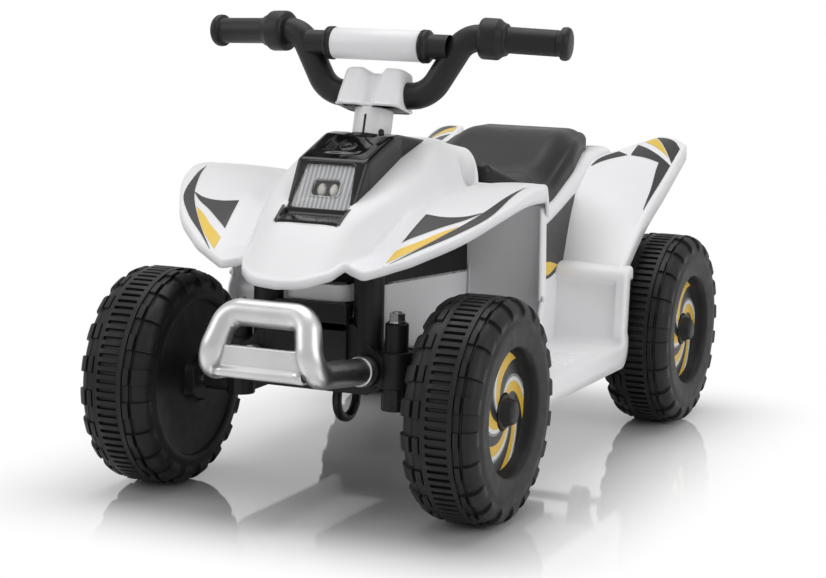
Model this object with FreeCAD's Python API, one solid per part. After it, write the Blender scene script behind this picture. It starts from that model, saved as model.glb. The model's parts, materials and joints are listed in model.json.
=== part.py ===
import FreeCAD
import Part
import functools
import math
import os
from FreeCAD import Vector

# Driving dimensions, in millimetres. +X is the rider's left, -Y is forward, +Z is up.
# The origin is on the ground under the middle of the bike.

# The drawing is laid out from the axles, then moved back by CENTRE_SHIFT to centre its length.
CENTRE_SHIFT = 5.03

WHEEL_RADIUS = 100.0
WHEEL_WIDTH = 73.0
FRONT_AXLE_Y = -243.7
REAR_AXLE_Y = 251.7
FRONT_WHEEL_X = 157.3
REAR_WHEEL_X = 163.2
AXLE_RADIUS = 5.0
AXLE_OVERHANG = 28.0
BUSH_RADIUS = 8.0
RUNNING_GAP = 0.05
MOVING_GAP = 0.4

# Wheel tread and trim
WHEEL_SIDES = 28
HUB_LOBES = 5
LUG_FLOOR_RADIUS = 90.5
RECESS_RADIUS = 57.4
RECESS_FLOOR = 12.0
RECESS_FLOOR_RADIUS = 52.0

# Flat sides of round pieces, and the step of a bent bar in degrees
TUBE_SIDES = 12
GRIP_SIDES = 16
BEND_STEP = 18.0

# Steering column: a raked axis through COLUMN_HEAD
COLUMN_RAKE = 15.0
COLUMN_HEAD = Vector(0, -136, 335)
ROD_RADIUS = 4.5
CRANK_LENGTH = 41.5
CRANK_BOTTOM = 67.0
SLEEVE_RADIUS = 18.0

# Steering linkage
KINGPIN_X = 77.6
KINGPIN_RADIUS = 4.0
ARM_LENGTH = 89.0
TIE_ROD_Z = 102.0
TIE_ROD_THICK = 6.0

# Handlebar
BAR_RADIUS = 12.5
BAR_CORE_RADIUS = 9.0
GRIP_END = Vector(181.7, -106, 412.3)
BAR_BEND_TOP = Vector(84, -118.6, 415.6)
BAR_BEND_LOW = Vector(51, -127, 360)
BAR_BEND = 24.0
GRIP_START = 14.0
GRIP_STEP = 39.0
CROSSBAR_Y = -127.5
CROSSBAR_Z = 406.0

# Body shells: PANEL is the upright depth of a sloping sheet
WALL = 3.0
PANEL = 3.9
FENDER_CREST_Z = 291.0
FENDER_CREST_Y = -134.0
SKIRT_DEPTH = 18.0
VALLEY_BLEND = 26.0
TANK_SKIRT_DEPTH = 36.0
COWL_ROWS = 13
COWL_FRONT_STATIONS = 16
COWL_REAR_STATIONS = 9
FENDER_STATIONS = 10
FLANK_X = 85.0
FOOTREST_X = 162.5
FOOTREST_Z = 97.0
SHIELD_Y = -97.0
FOOTWELL_REAR_Y = 139.0
SADDLE_TAIL_Y = 318.0
TAIL_BEND = 26.0
NOSE_SHOULDER_Y = -218.0
NOSE_TOP_Z = 197.0

# Headlight: a lens that leans back
LENS_MIDDLE = Vector(0, -233.5, 283.4)
LENS_LEAN = 58.6
LENS_HEIGHT = 44.7
LENS_LOW_HALF = 30.0
LENS_HIGH_HALF = 24.1
LENS_RIBS = 13

# Accelerator pedal on the right footrest
PEDAL_PIN_RADIUS = 1.5

# Direction switch in the right flank
SWITCH_Y = 55.0
SWITCH_Z = 190.0
ROCKER_PIN_X = -86.3
ROCKER_PIN_RADIUS = 0.9

# Bumper tube
BUMPER_RADIUS = 10.5
BUMPER_LOW = Vector(50.4, -361.3, 136.0)
BUMPER_TOP = Vector(37.5, -350.0, 188.0)
BUMPER_END = Vector(55.0, -253.0, 125.5)


def mirrored(shape):
    """The same shape on the other side of the bike."""
    return shape.mirror(Vector(0, 0, 0), Vector(1, 0, 0))


def both_sides(shape):
    return shape.fuse(mirrored(shape))


def save(name, shape):
    """Write one piece to parts/."""
    shape = shape.removeSplitter() if shape.ShapeType != "Compound" else shape
    shape = shape.translated(Vector(0, CENTRE_SHIFT, 0))
    if not shape.isValid():
        print("INVALID", name)
    shape.exportStep("parts/" + name + ".step")
    print("%-24s solids %d  volume %.0f" % (name, len(shape.Solids), shape.Volume))


def route(points, bend, closed=False):
    """Straight runs with a tangent arc of radius bend at every corner."""
    count = len(points)
    radii = bend if isinstance(bend, (list, tuple)) else [bend] * count
    corners = []
    for i, corner in enumerate(points):
        is_end = not closed and i in (0, count - 1)
        if is_end or radii[i] == 0:
            corners.append((corner, None, corner))
            continue
        back = (points[i - 1] - corner).normalize()
        ahead = (points[(i + 1) % count] - corner).normalize()
        half = back.getAngle(ahead) / 2
        if half > math.radians(89.9):
            corners.append((corner, None, corner))
            continue
        cut = radii[i] / math.tan(half)
        inward = (back + ahead).normalize()
        middle = corner + inward * (radii[i] / math.sin(half) - radii[i])
        corners.append((corner + back * cut, middle, corner + ahead * cut))
    edges = []
    for i, (start, middle, end) in enumerate(corners):
        if middle is not None:
            edges.append(Part.Arc(start, middle, end).toShape())
        if i + 1 < count or closed:
            following = corners[(i + 1) % count][0]
            if end.distanceToPoint(following) > 1e-6:
                edges.append(Part.LineSegment(end, following).toShape())
    return Part.Wire(edges)


def slab_side(outline, x0, x1, bend=0):
    """Outline of (y, z) corners, extruded across the bike."""
    wire = route([Vector(x0, y, z) for y, z in outline], bend, closed=True)
    return Part.Face(wire).extrude(Vector(x1 - x0, 0, 0))


def slab_plan(outline, z0, z1, bend=0):
    """Outline of (x, y) corners, extruded upwards."""
    wire = route([Vector(x, y, z0) for x, y in outline], bend, closed=True)
    return Part.Face(wire).extrude(Vector(0, 0, z1 - z0))


def slab_front(outline, y0, y1, bend=0):
    """Outline of (x, z) corners, extruded along the bike."""
    wire = route([Vector(x, y0, z) for x, z in outline], bend, closed=True)
    return Part.Face(wire).extrude(Vector(0, y1 - y0, 0))


def symmetric(half):
    """Close a half outline of (x, other) corners with its mirror image."""
    return half + [(-x, other) for x, other in reversed(half) if x > 0]


def block(x0, x1, y0, y1, z0, z1):
    return Part.makeBox(x1 - x0, y1 - y0, z1 - z0, Vector(x0, y0, z0))


def rod(start, end, radius):
    along = end - start
    return Part.makeCylinder(radius, along.Length, start, along)


def chords(points, bend):
    """A bent route as straight runs, with each arc in steps of about BEND_STEP degrees."""
    places = [points[0]]
    for edge in route(points, bend).OrderedEdges:
        turn = 0.0
        if edge.Curve.TypeId == "Part::GeomCircle":
            turn = math.degrees(edge.LastParameter - edge.FirstParameter)
        steps = max(1, round(turn / BEND_STEP))
        places += edge.discretize(steps + 1)[1:]
    return places


def closed_by(polygons):
    """Solid closed by flat faces, each given by its corners; corners that meet are dropped."""
    faces = []
    for corners in polygons:
        corners = [p for i, p in enumerate(corners) if p.distanceToPoint(corners[i - 1]) > 1e-6]
        if len(corners) > 2:
            faces.append(Part.Face(Part.makePolygon(corners + corners[:1])))
    shell = Part.Shell(faces)
    shell.sewShape()
    solid = Part.Solid(shell)
    return solid if solid.Volume > 0 else solid.reversed()


def band(near, far):
    """Four-cornered faces between two closed rings of points."""
    return [[near[j - 1], near[j], far[j], far[j - 1]] for j in range(len(near))]


def halves(polygons):
    """Every four-cornered face as two triangles."""
    return [[a, b, c] for a, b, c, d in polygons] + [[a, c, d] for a, b, c, d in polygons]


def flat_skin(rings, looped):
    """Solid with flat faces between neighbouring rings of points, in a loop or closed by its end rings."""
    pairs = list(zip(rings, rings[1:] + rings[:1])) if looped else list(zip(rings, rings[1:]))
    polygons = [corners for near, far in pairs for corners in band(near, far)]
    return closed_by(polygons if looped else polygons + [rings[0], rings[-1]])


def tube(points, radius, bend, sides=TUBE_SIDES):
    """A bar along a bent route, many-sided, with mitres where its straight runs meet."""
    places = chords(points, bend)
    runs = [(b - a).normalize() for a, b in zip(places, places[1:])]
    side = runs[0].cross(Vector(0, 1, 0)).normalize() * radius
    other = runs[0].cross(side)
    angles = [2 * math.pi * i / sides for i in range(sides)]
    rings = [[places[0] + side * math.cos(a) + other * math.sin(a) for a in angles]]
    for i, run in enumerate(runs):
        mitre = run + runs[min(i + 1, len(runs) - 1)]
        place = places[i + 1]
        rings.append([p + run * ((place - p).dot(mitre) / run.dot(mitre)) for p in rings[-1]])
    return flat_skin(rings, looped=False)


def turned(profile, base, axis, sides=0):
    """Turn a profile of (distance, radius) about an axis, round or with a number of flat sides."""
    if sides:
        angles = [2 * math.pi * i / sides for i in range(sides)]
        rings = [[Vector(s, r * math.cos(a), r * math.sin(a)) for s, r in profile] for a in angles]
        solid = flat_skin(rings, looped=True)
    else:
        face = Part.Face(Part.makePolygon([Vector(s, r, 0) for s, r in profile + profile[:1]]))
        solid = face.revolve(Vector(0, 0, 0), Vector(1, 0, 0), 360)
    solid.Placement = FreeCAD.Placement(base, FreeCAD.Rotation(Vector(1, 0, 0), axis))
    return solid


def star(points, outer, inner, x0, x1):
    """A lobed prism along X about the X axis."""
    corners = []
    for i in range(2 * points):
        angle, radius = math.pi * i / points, inner if i % 2 else outer
        corners.append(Vector(x0, radius * math.cos(angle), radius * math.sin(angle)))
    return Part.Face(Part.makePolygon(corners + corners[:1])).extrude(Vector(x1 - x0, 0, 0))


def smooth(value, low, high):
    """0 below low, 1 above high, with an even change between."""
    t = min(max((value - low) / (high - low), 0.0), 1.0)
    return t * t * (3 - 2 * t)


def soft_min(a, b, blend):
    """The lower of two heights, with a rounded change between them."""
    spread = abs(a - b)
    if spread >= blend:
        return min(a, b)
    return min(a, b) - (blend - spread) ** 2 / (4 * blend)


def evenly(low, high, count):
    return [low + (high - low) * i / (count - 1) for i in range(count)]


def lowered(points, depth):
    return [p - Vector(0, 0, depth) for p in points]


def cells(grid):
    """The triangles between the points of a grid."""
    quads = []
    for near, far in zip(grid, grid[1:]):
        quads += [[near[i - 1], near[i], far[i], far[i - 1]] for i in range(1, len(near))]
    return halves(quads)


def rim(grid):
    """The closed line of points round a grid."""
    right = [line[-1] for line in grid[1:-1]]
    left = [line[0] for line in grid[-2:0:-1]]
    return grid[0] + right + grid[-1][::-1] + left


def slab_under(grid, top, bottom):
    """Solid between two copies of a surface grid, lowered by top and by bottom."""
    upper = [lowered(line, top) for line in grid]
    lower = [lowered(line, bottom) for line in grid]
    return closed_by(cells(upper) + cells(lower) + band(rim(upper), rim(lower)))


# Steering axis helpers

def column_up():
    rake = math.radians(COLUMN_RAKE)
    return Vector(0, math.sin(rake), math.cos(rake))


def column_back():
    rake = math.radians(COLUMN_RAKE)
    return Vector(0, math.cos(rake), -math.sin(rake))


def column_point(z):
    """The point of the steering axis at a height."""
    up = column_up()
    return COLUMN_HEAD + up * ((z - COLUMN_HEAD.z) / up.z)


def on_column(x, back, up):
    """A point given across, behind and along the steering axis from its head."""
    return COLUMN_HEAD + Vector(x, 0, 0) + column_back() * back + column_up() * up


# Wheels

def tyre():
    """Blow-moulded tyre on the X axis, outer face to +X: lugged tread, trim recess and a lobed hub."""
    half = WHEEL_WIDTH / 2
    inner_face = -half + 5
    profile = [
        (inner_face, 0), (inner_face, 66), (-half, 81), (-half + 2, 92), (-24, 98), (-16, WHEEL_RADIUS),
        (16, WHEEL_RADIUS), (24, 98), (half - 2, 92), (half, 81), (half - 3, RECESS_RADIUS),
        (RECESS_FLOOR, RECESS_FLOOR_RADIUS), (RECESS_FLOOR, 0),
    ]
    carcass = turned(profile, Vector(0, 0, 0), Vector(1, 0, 0), WHEEL_SIDES)
    pitch = 360.0 / WHEEL_SIDES
    gap = 0.6 * 2 * math.pi * WHEEL_RADIUS / WHEEL_SIDES
    tools = [rod(Vector(-half - 9, 0, 0), Vector(half, 0, 0), AXLE_RADIUS + RUNNING_GAP)]
    for i in range(WHEEL_SIDES):
        side = 1 if i % 2 else -1
        outline = [(17, -gap / 2), (17, gap / 2), (half + 1, gap * 0.7), (half + 1, -gap * 0.3)]
        notch = slab_plan([(side * x, y) for x, y in outline], LUG_FLOOR_RADIUS, WHEEL_RADIUS + 2)
        notch.rotate(Vector(0, 0, 0), Vector(1, 0, 0), (i + 0.5) * pitch)
        tools.append(notch)
    hub = star(HUB_LOBES, 22, 18, -half - 4.5, inner_face)
    return carcass.fuse(hub).cut(tools)


def wheel_trim():
    """Dished trim disc that sits in the recess of the outer face."""
    profile = [(RECESS_FLOOR, 17), (RECESS_FLOOR, 51.4), (15.5, 51.4), (14.5, 47), (18, 19), (18, 17)]
    return turned(profile, Vector(0, 0, 0), Vector(1, 0, 0), WHEEL_SIDES)


def hub_cap():
    """Black cap over the axle end: a scalloped flange and a tapered boss."""
    flange = star(8, 16.4, 14.8, RECESS_FLOOR, 20)
    boss = turned([(RECESS_FLOOR, 0), (RECESS_FLOOR, 12.5), (20, 12.5), (30, 9.5), (31.5, 8), (31.5, 0)],
                  Vector(0, 0, 0), Vector(1, 0, 0), TUBE_SIDES)
    hollow = tube([Vector(RECESS_FLOOR, 0, 0), Vector(29, 0, 0)], AXLE_RADIUS + 2, 0)
    return flange.fuse(boss).cut(hollow)


def save_wheels():
    shapes = {"tyre": tyre(), "wheel_trim": wheel_trim(), "hub_cap": hub_cap()}
    corners = {"front": (FRONT_WHEEL_X, FRONT_AXLE_Y), "rear": (REAR_WHEEL_X, REAR_AXLE_Y)}
    for name, shape in shapes.items():
        for end, (x, y) in corners.items():
            left = shape.translated(Vector(x, y, WHEEL_RADIUS))
            save("%s_%s_left" % (name, end), left)
            save("%s_%s_right" % (name, end), mirrored(left))


# Front axle

def front_frame():
    """Black moulded frame: two posts, a cross box, the kingpin barrels and the bumper sockets."""
    y = FRONT_AXLE_Y
    post_x = 50.0
    half_web = [(0, 104), (56, 104), (62, 112), (70, 112), (70, 140), (62, 144), (42, 166), (0, 166)]
    web = slab_front(symmetric(half_web), y - 13, y + 13)
    box = block(-36, 36, y - 17, y + 22, 112, 166)
    plate = block(-36, 36, y - 17, y - 9, 160, 183.5)
    shape = web.fuse([box, plate])
    side = below_cowl(tube([Vector(post_x, y, 110), Vector(post_x, y, 280)], 13.5, 0))
    side = side.fuse(tube([Vector(KINGPIN_X, y, 111), Vector(KINGPIN_X, y, 144)], 15, 0))
    side = side.fuse(tube([Vector(KINGPIN_X, y, 140), Vector(KINGPIN_X, y, 169)], 10.5, 0))
    side = side.fuse(tube([BUMPER_END, BUMPER_END + Vector(0.5, 14, -1.5)], 13.5, 0))
    shape = shape.fuse(both_sides(side))
    half_bracket = [(0, y + 18), (17, y + 18), (15, y + 68), (8, y + 78), (0, y + 78)]
    shape = shape.fuse(slab_plan(symmetric(half_bracket), 150, 160))
    for sign in (1, -1):
        pin_bore = rod(Vector(sign * KINGPIN_X, y, 90), Vector(sign * KINGPIN_X, y, 190),
                       KINGPIN_RADIUS + RUNNING_GAP)
        shape = shape.cut(pin_bore)
    column_bore = rod(column_point(130), column_point(180), ROD_RADIUS + RUNNING_GAP)
    return shape.cut([column_bore, bumper_bar()])


def knuckle():
    """Left steering knuckle: boss, axle carrier and the arm that reaches back to the tie rod."""
    y = FRONT_AXLE_Y
    boss = tube([Vector(KINGPIN_X, y, 91), Vector(KINGPIN_X, y, 111 - MOVING_GAP)], 13, 0)
    carrier = tube([Vector(KINGPIN_X, y, WHEEL_RADIUS), Vector(112, y, WHEEL_RADIUS)], 9, 0)
    arm_end_y = y + ARM_LENGTH
    tip_y = arm_end_y + 8
    outline = [(KINGPIN_X - 10, y), (KINGPIN_X + 10, y), (KINGPIN_X + 8, tip_y), (KINGPIN_X - 8, tip_y)]
    arm = slab_plan(outline, 93, 101, [0, 0, 7, 7])
    shape = boss.fuse(carrier).fuse(arm)
    shape = shape.cut(rod(Vector(KINGPIN_X, arm_end_y, 80), Vector(KINGPIN_X, arm_end_y, 110), 4.1))
    return shape.cut([kingpin(), stub_axle()])


def kingpin():
    return rod(Vector(KINGPIN_X, FRONT_AXLE_Y, 93), Vector(KINGPIN_X, FRONT_AXLE_Y, 179), KINGPIN_RADIUS)


def kingpin_nut():
    """Washer and hexagon nut on top of the left kingpin."""
    y = FRONT_AXLE_Y
    washer = tube([Vector(KINGPIN_X, y, 169 + MOVING_GAP), Vector(KINGPIN_X, y, 171)], 8, 0)
    corners = [Vector(KINGPIN_X + 7.5 * math.cos(math.radians(a)), y + 7.5 * math.sin(math.radians(a)), 171)
               for a in range(0, 360, 60)]
    nut = Part.Face(Part.makePolygon(corners + corners[:1])).extrude(Vector(0, 0, 6.5))
    return washer.fuse(nut).cut(kingpin())


def stub_axle():
    start = Vector(KINGPIN_X + 6, FRONT_AXLE_Y, WHEEL_RADIUS)
    end = Vector(FRONT_WHEEL_X + AXLE_OVERHANG, FRONT_AXLE_Y, WHEEL_RADIUS)
    return rod(start, end, AXLE_RADIUS)


def tie_rod():
    """Flat link that joins both steering arms, slotted in the middle for the crank."""
    y = FRONT_AXLE_Y + ARM_LENGTH
    end_x = KINGPIN_X + 8
    half = [(0, y - 15), (20, y - 15), (34, y - 8), (end_x, y - 8), (end_x, y + 8), (34, y + 8), (20, y + 15),
            (0, y + 15)]
    z1 = TIE_ROD_Z + TIE_ROD_THICK
    link = slab_plan(symmetric(half), TIE_ROD_Z, z1)
    pin = rod(Vector(KINGPIN_X, y, 91), Vector(KINGPIN_X, y, TIE_ROD_Z + 2), 4.0)
    slot = slab_plan([(-5.2, y - 10), (5.2, y - 10), (5.2, y + 10), (-5.2, y + 10)], 90, 120, 5)
    return link.fuse(both_sides(pin)).cut(slot)


# Steering column and handlebar

@functools.cache
def steering_rod():
    """Steel rod down the column, bent into a U whose far leg drives the tie rod."""
    top = on_column(0, 0, 11)
    turn = column_point(CRANK_BOTTOM + 4)
    far = turn + column_back() * CRANK_LENGTH
    tip = far + column_up() * 56
    return tube([top, turn, far, tip], ROD_RADIUS, 19)


def column_sleeve():
    """White cover of the column, with a slit in front and a screw hole at the side."""
    sleeve = tube([on_column(0, 0, -44), on_column(0, 0, 11.5)], SLEEVE_RADIUS, 0, GRIP_SIDES)
    slit = block(-0.9, 0.9, -SLEEVE_RADIUS - 1, -SLEEVE_RADIUS + 3, -22, 6)
    slit.Placement = FreeCAD.Placement(COLUMN_HEAD, FreeCAD.Rotation(Vector(0, 0, 1), column_up()))
    hole = tube([on_column(10, -10, -9), on_column(30, -12, -9)], 3, 0)
    return sleeve.cut([steering_rod(), slit, hole])


def bar_points():
    left = [BAR_BEND_TOP, BAR_BEND_LOW]
    right = [Vector(-p.x, p.y, p.z) for p in reversed(left)]
    return left + right


def grip_axis():
    return (GRIP_END - BAR_BEND_TOP).normalize()


@functools.cache
def handlebar():
    """Bent tube, thinner where the grips slide over its ends."""
    inner_end = BAR_BEND_TOP + grip_axis() * GRIP_STEP
    points = [inner_end] + bar_points() + [Vector(-inner_end.x, inner_end.y, inner_end.z)]
    core = tube([inner_end - grip_axis() * 2, GRIP_END - grip_axis() * 6], BAR_CORE_RADIUS, 0)
    return tube(points, BAR_RADIUS, BAR_BEND).fuse(both_sides(core))


def grip():
    """Left grip: chamfered collar, sleeve and rounded end flange."""
    start = BAR_BEND_TOP + grip_axis() * GRIP_START
    length = (GRIP_END - start).Length
    profile = [
        (0, 0), (0, 17), (3, 19), (17, 19), (25, 14.5), (26, 12.2), (length - 9, 12.2), (length - 7, 15),
        (length - 3, 15), (length, 13), (length, 0),
    ]
    return turned(profile, start, grip_axis(), GRIP_SIDES).cut(handlebar())


@functools.cache
def crossbar():
    """Black brace between the bar's legs, with a flange at each end of the pad."""
    brace = tube([Vector(-80, CROSSBAR_Y, CROSSBAR_Z), Vector(80, CROSSBAR_Y, CROSSBAR_Z)], 11.5, 0)
    flange = turned([(45, 0), (45, 15.5), (50, 15.5), (52, 14), (52, 0)],
                    Vector(0, CROSSBAR_Y, CROSSBAR_Z), Vector(1, 0, 0), GRIP_SIDES)
    shape = brace.fuse(both_sides(flange)).cut(handlebar())
    return max(shape.Solids, key=lambda solid: solid.Volume)


def crossbar_pad():
    pad = turned([(-45, 0), (-45, 13.5), (-44, 14.5), (44, 14.5), (45, 13.5), (45, 0)],
                 Vector(0, CROSSBAR_Y, CROSSBAR_Z), Vector(1, 0, 0), GRIP_SIDES)
    return pad.cut(crossbar())


def clamp_section(half_x, front, rear, up, chamfer=6):
    """One section of the clamp across the steering axis, with chamfered corners."""
    flat = half_x - chamfer
    quarter = [(flat, front), (half_x, front + chamfer), (half_x, rear - chamfer), (flat, rear)]
    outline = quarter + [(-x, back) for x, back in reversed(quarter)]
    return [on_column(x, back, up) for x, back in outline]


def handlebar_clamp():
    """Two-lobed white block that holds the bar on the column."""
    sizes = [(37, -24, 19, 11.5), (36, -21, 19, 24), (32, -15, 16, 45)]
    sections = [clamp_section(*size) for size in sizes]
    valley = []
    for back, up in ((-15, 5), (-7, 52)):
        corners = [(17, back - 20), (8, back), (-8, back), (-17, back - 20)]
        valley.append([on_column(x, place, up) for x, place in corners])
    groove = flat_skin(valley, looped=False)
    notch_corners = [(-17, 50), (-8, 39), (8, 39), (17, 50), (-17, 50)]
    notch = Part.makePolygon([on_column(x, -40, up) for x, up in notch_corners])
    top_groove = Part.Face(notch).extrude(column_back() * 80)
    return flat_skin(sections, looped=False).cut([groove, top_groove, handlebar()])


# Front cowl

def fender_height(x, y):
    """Height of the front fender: a sloped nose that meets a deck rising outwards."""
    side = min(abs(x), 165.0)
    inward = min((165.0 - side) / 105.0, 1.1)
    ahead = max(FENDER_CREST_Y - y, 0.0)
    slope = FENDER_CREST_Z - 0.852 * ahead ** 2 / (ahead + 152.0)
    deck = FENDER_CREST_Z - 19.0 * inward ** 1.3
    crest_y = -141.0 + 65.0 * inward
    behind = min(max(y - crest_y, 0.0), 60.0)
    return soft_min(slope, deck, 12.0) - 0.0142 * behind ** 2


def hood_half_width(y):
    return 64.0 - 18.0 * (y + 316.0) / 336.0


def hood_height(y):
    """Height of the hood along its middle."""
    nose = 254.0 + 0.633 * (y + 266.0) - 0.0065 * max(-285.0 - y, 0.0) ** 2
    tank = 324.0 - 0.155 * (y + 120.0)
    return soft_min(nose, tank, 10.0)


def cowl_height(x, y):
    """Fenders with the hood standing up between them, joined by a rounded valley."""
    half = hood_half_width(y)
    valley = fender_height(half, y)
    power = 2.6 + 3.4 * smooth(y, -300.0, -60.0)
    hood = valley + (hood_height(y) - valley) * (1.0 - (abs(x) / half) ** power)
    return -soft_min(-hood, -fender_height(x, y), VALLEY_BLEND)


def cowl_outline():
    half = [(0, -328), (36, -323), (59, -306), (76, -312), (104, -289), (142, -247), (169, -197), (179, -152),
            (162, -97), (64, -44), (51, -12), (44, 22), (0, 24)]
    bends = [0, 40, 8, 8, 60, 120, 120, 22, 12, 14, 30, 12, 0]
    points = symmetric(half)
    radii = bends + bends[1:-1][::-1]
    return route([Vector(x, y, 0) for x, y in points], radii, closed=True)


def cowl_edges(inset):
    """Front and rear edge of the cowl's left half, each from the middle out to its widest place."""
    outline = cowl_outline()
    outline = outline.makeOffset2D(-inset) if inset else outline
    points = [p for p in outline.discretize(900) if p.x >= 0]
    widest = max(points, key=lambda p: p.x)
    front = [p for p in points if p.y < widest.y]
    rear = [p for p in points if p.y > widest.y]
    return [sorted(edge + [widest], key=lambda p: p.x) for edge in (front, rear)]


def crossing(edge, x):
    """The y where an edge, a row of points by rising x, passes x."""
    x = min(max(x, edge[0].x), edge[-1].x)
    for a, b in zip(edge, edge[1:]):
        if b.x >= x and b.x > a.x:
            return a.y + (b.y - a.y) * (x - a.x) / (b.x - a.x)


@functools.cache
def cowl_stations():
    """Places across the cowl, as shares of its half width: even steps along its front and its rear edge."""
    front, rear = cowl_edges(0)
    places = [0.0]
    steps = Part.makePolygon(front).discretize(COWL_FRONT_STATIONS)
    steps += Part.makePolygon(rear).discretize(COWL_REAR_STATIONS)
    for x in sorted(p.x for p in steps):
        if x - places[-1] > WALL:
            places.append(x)
    places[-1] = front[-1].x
    shares = [x / front[-1].x for x in places]
    return [-share for share in shares[:0:-1]] + shares


@functools.cache
def cowl_grid(inset):
    """Surface points of the cowl: rows from its front edge to its rear edge, columns across."""
    front, rear = cowl_edges(inset)
    half = front[-1].x
    columns = [share * half for share in cowl_stations()]
    ends = [(crossing(front, abs(x)), crossing(rear, abs(x))) for x in columns]
    grid = []
    for share in evenly(0, 1, COWL_ROWS):
        places = [(x, low + (high - low) * share) for x, (low, high) in zip(columns, ends)]
        grid.append([Vector(x, y, cowl_height(x, y)) for x, y in places])
    return grid


def cowl_opening():
    """Cut-out of the hood under the lamp housing."""
    half = [(0, -258), (31, -258), (31, -160), (29, -110), (23, -88), (0, -88)]
    return slab_plan(symmetric(half), 150, 400)


def skirt_drop(point):
    """Depth of the cowl's skirt: deeper round the tail of the tank."""
    at_tail = smooth(point.y, -45, -25) if abs(point.x) < 62 else 0
    return SKIRT_DEPTH + (TANK_SKIRT_DEPTH - SKIRT_DEPTH) * at_tail


@functools.cache
def front_cowl():
    """White hood and front fenders, one thin moulding with a skirt round its edge."""
    top = cowl_grid(0)
    under = [lowered(line, PANEL) for line in cowl_grid(WALL)]
    edge, inner = rim(top), rim(under)
    foot = [p - Vector(0, 0, skirt_drop(p)) for p in edge]
    inner_foot = [Vector(p.x, p.y, f.z) for p, f in zip(inner, foot)]
    skirt = band(edge, foot) + halves(band(foot, inner_foot)) + band(inner_foot, inner)
    return closed_by(cells(top) + cells(under) + skirt).cut(cowl_opening())


def below_cowl(shape):
    """Trim a shape to the underside of the cowl."""
    return shape.cut(slab_under(cowl_grid(WALL), PANEL, -200))


# Headlight

def on_lens(x, along, out):
    """A point given across, up and out of the lens from its middle."""
    lean = math.radians(LENS_LEAN)
    up = Vector(0, math.cos(lean), math.sin(lean))
    outward = Vector(0, -math.sin(lean), math.cos(lean))
    return LENS_MIDDLE + Vector(x, 0, 0) + up * along + outward * out


def lens_block(inset, back, front, bend=5):
    """A block with the lens outline, drawn in by inset, from back to front of the lens face."""
    half = LENS_HEIGHT / 2 - inset
    low, high = LENS_LOW_HALF - inset, LENS_HIGH_HALF - inset
    outline = [(low, -half), (high, half), (-high, half), (-low, -half)]
    corners = [on_lens(x, along, back) for x, along in outline]
    outward = on_lens(0, 0, 1) - on_lens(0, 0, 0)
    return Part.Face(route(corners, bend, closed=True)).extrude(outward * (front - back))


@functools.cache
def headlight_bezel():
    """Gloss black lamp housing that runs up to the column and round it as a dash."""
    side = [(-266, 250), (-249.8, 260.5), (-221, 307.5), (-164, 330), (-150, 331), (-84, 318), (-84, 306),
            (-150, 310), (-250, 240)]
    body = slab_side(side, -40, 40)
    half = [(0, -275), (33, -275), (35.5, -215), (35.5, -120), (27, -84), (0, -84)]
    body = body.common(slab_plan(symmetric(half), 200, 340))
    under = slab_under(cowl_grid(0), 0, 90).cut(cowl_opening())
    body = body.cut(under)
    sleeve_hole = tube([on_column(0, 0, -70), on_column(0, 0, 30)], SLEEVE_RADIUS + 2.4, 0, GRIP_SIDES)
    keyhole = tube([Vector(0, -186, 300), Vector(0, -199, 345)], 3.2, 0)
    body = body.cut([lens_block(-0.4, -3.2, 12), lens_block(5, -24, 0, 3), sleeve_hole, keyhole])
    return max(body.Solids, key=lambda solid: solid.Volume)


def headlight_lens():
    """Clear lens plate with upright ribs on its back."""
    plate = lens_block(0, -3, 0)
    ribs = []
    for i in range(LENS_RIBS):
        x = (i - (LENS_RIBS - 1) / 2) * 2.9
        section = [on_lens(x - 0.8, -16, -3), on_lens(x + 0.8, -16, -3), on_lens(x, -16, -3.8)]
        rib = Part.Face(Part.makePolygon(section + section[:1]))
        ribs.append(rib.extrude(on_lens(0, 32, 0) - on_lens(0, 0, 0)))
    return plate.fuse(ribs)


def headlight_reflector():
    """Silver tray behind the lens."""
    return lens_block(5.4, -23.6, -4.5, 3).cut(lens_block(8, -21, 0, 2))


def headlight_leds():
    """Pair of lamps on the reflector's floor."""
    outward = on_lens(0, 0, 1) - on_lens(0, 0, 0)
    profile = [(0, 0), (0, 4.5), (5, 4.5), (8, 2.5), (8.5, 0)]
    return Part.makeCompound([turned(profile, on_lens(x, 0, -21), outward, 12) for x in (-8, 8)])


# Main body

def saddle_line():
    """Corners of the line where the seat sits on the body, as (y, z)."""
    return [(SHIELD_Y, 246), (-42, 246), (-27, 274), (112, 233), (246, 283), (SADDLE_TAIL_Y, 285)]


def under_saddle(x0, x1, floor):
    """Everything below the saddle line down to a floor height."""
    line = saddle_line()
    outline = line + [(line[-1][0], floor), (line[0][0], floor)]
    return slab_side(outline, x0, x1, [0, 6, 6, 110, 60, 0, 0, 0])


def body_tub(half_x, drop, ends):
    """Seat tub below the saddle line, made smaller by drop and ends for its hollow."""
    tub = under_saddle(-half_x, half_x, 60).translated(Vector(0, 0, -drop))
    front, rear, floor = SHIELD_Y + ends, SADDLE_TAIL_Y - ends, 93 - 3 * ends
    side = [(front, 400), (rear, 400), (rear, 190), (rear - 40, 128 - 8 * ends), (158, 128 - 8 * ends),
            (150, floor), (front, floor)]
    plan = symmetric([(0, front), (half_x, front), (half_x, rear), (0, rear)])
    bend = TAIL_BEND - ends
    tub = tub.common(slab_side(side, -half_x, half_x))
    return tub.common(slab_plan(plan, 50, 420, [0, 0, bend, 0, bend, 0]))


def nose_plan(inset):
    """Plan of the fore-body: narrow between the posts, then widening back to the leg shields."""
    half = [(0, -252), (32, -252), (32, NOSE_SHOULDER_Y - 4), (52, NOSE_SHOULDER_Y), (82, SHIELD_Y),
            (0, SHIELD_Y)]
    return symmetric([(max(x - inset, 0), y if y == SHIELD_Y else y + inset) for x, y in half])


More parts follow.
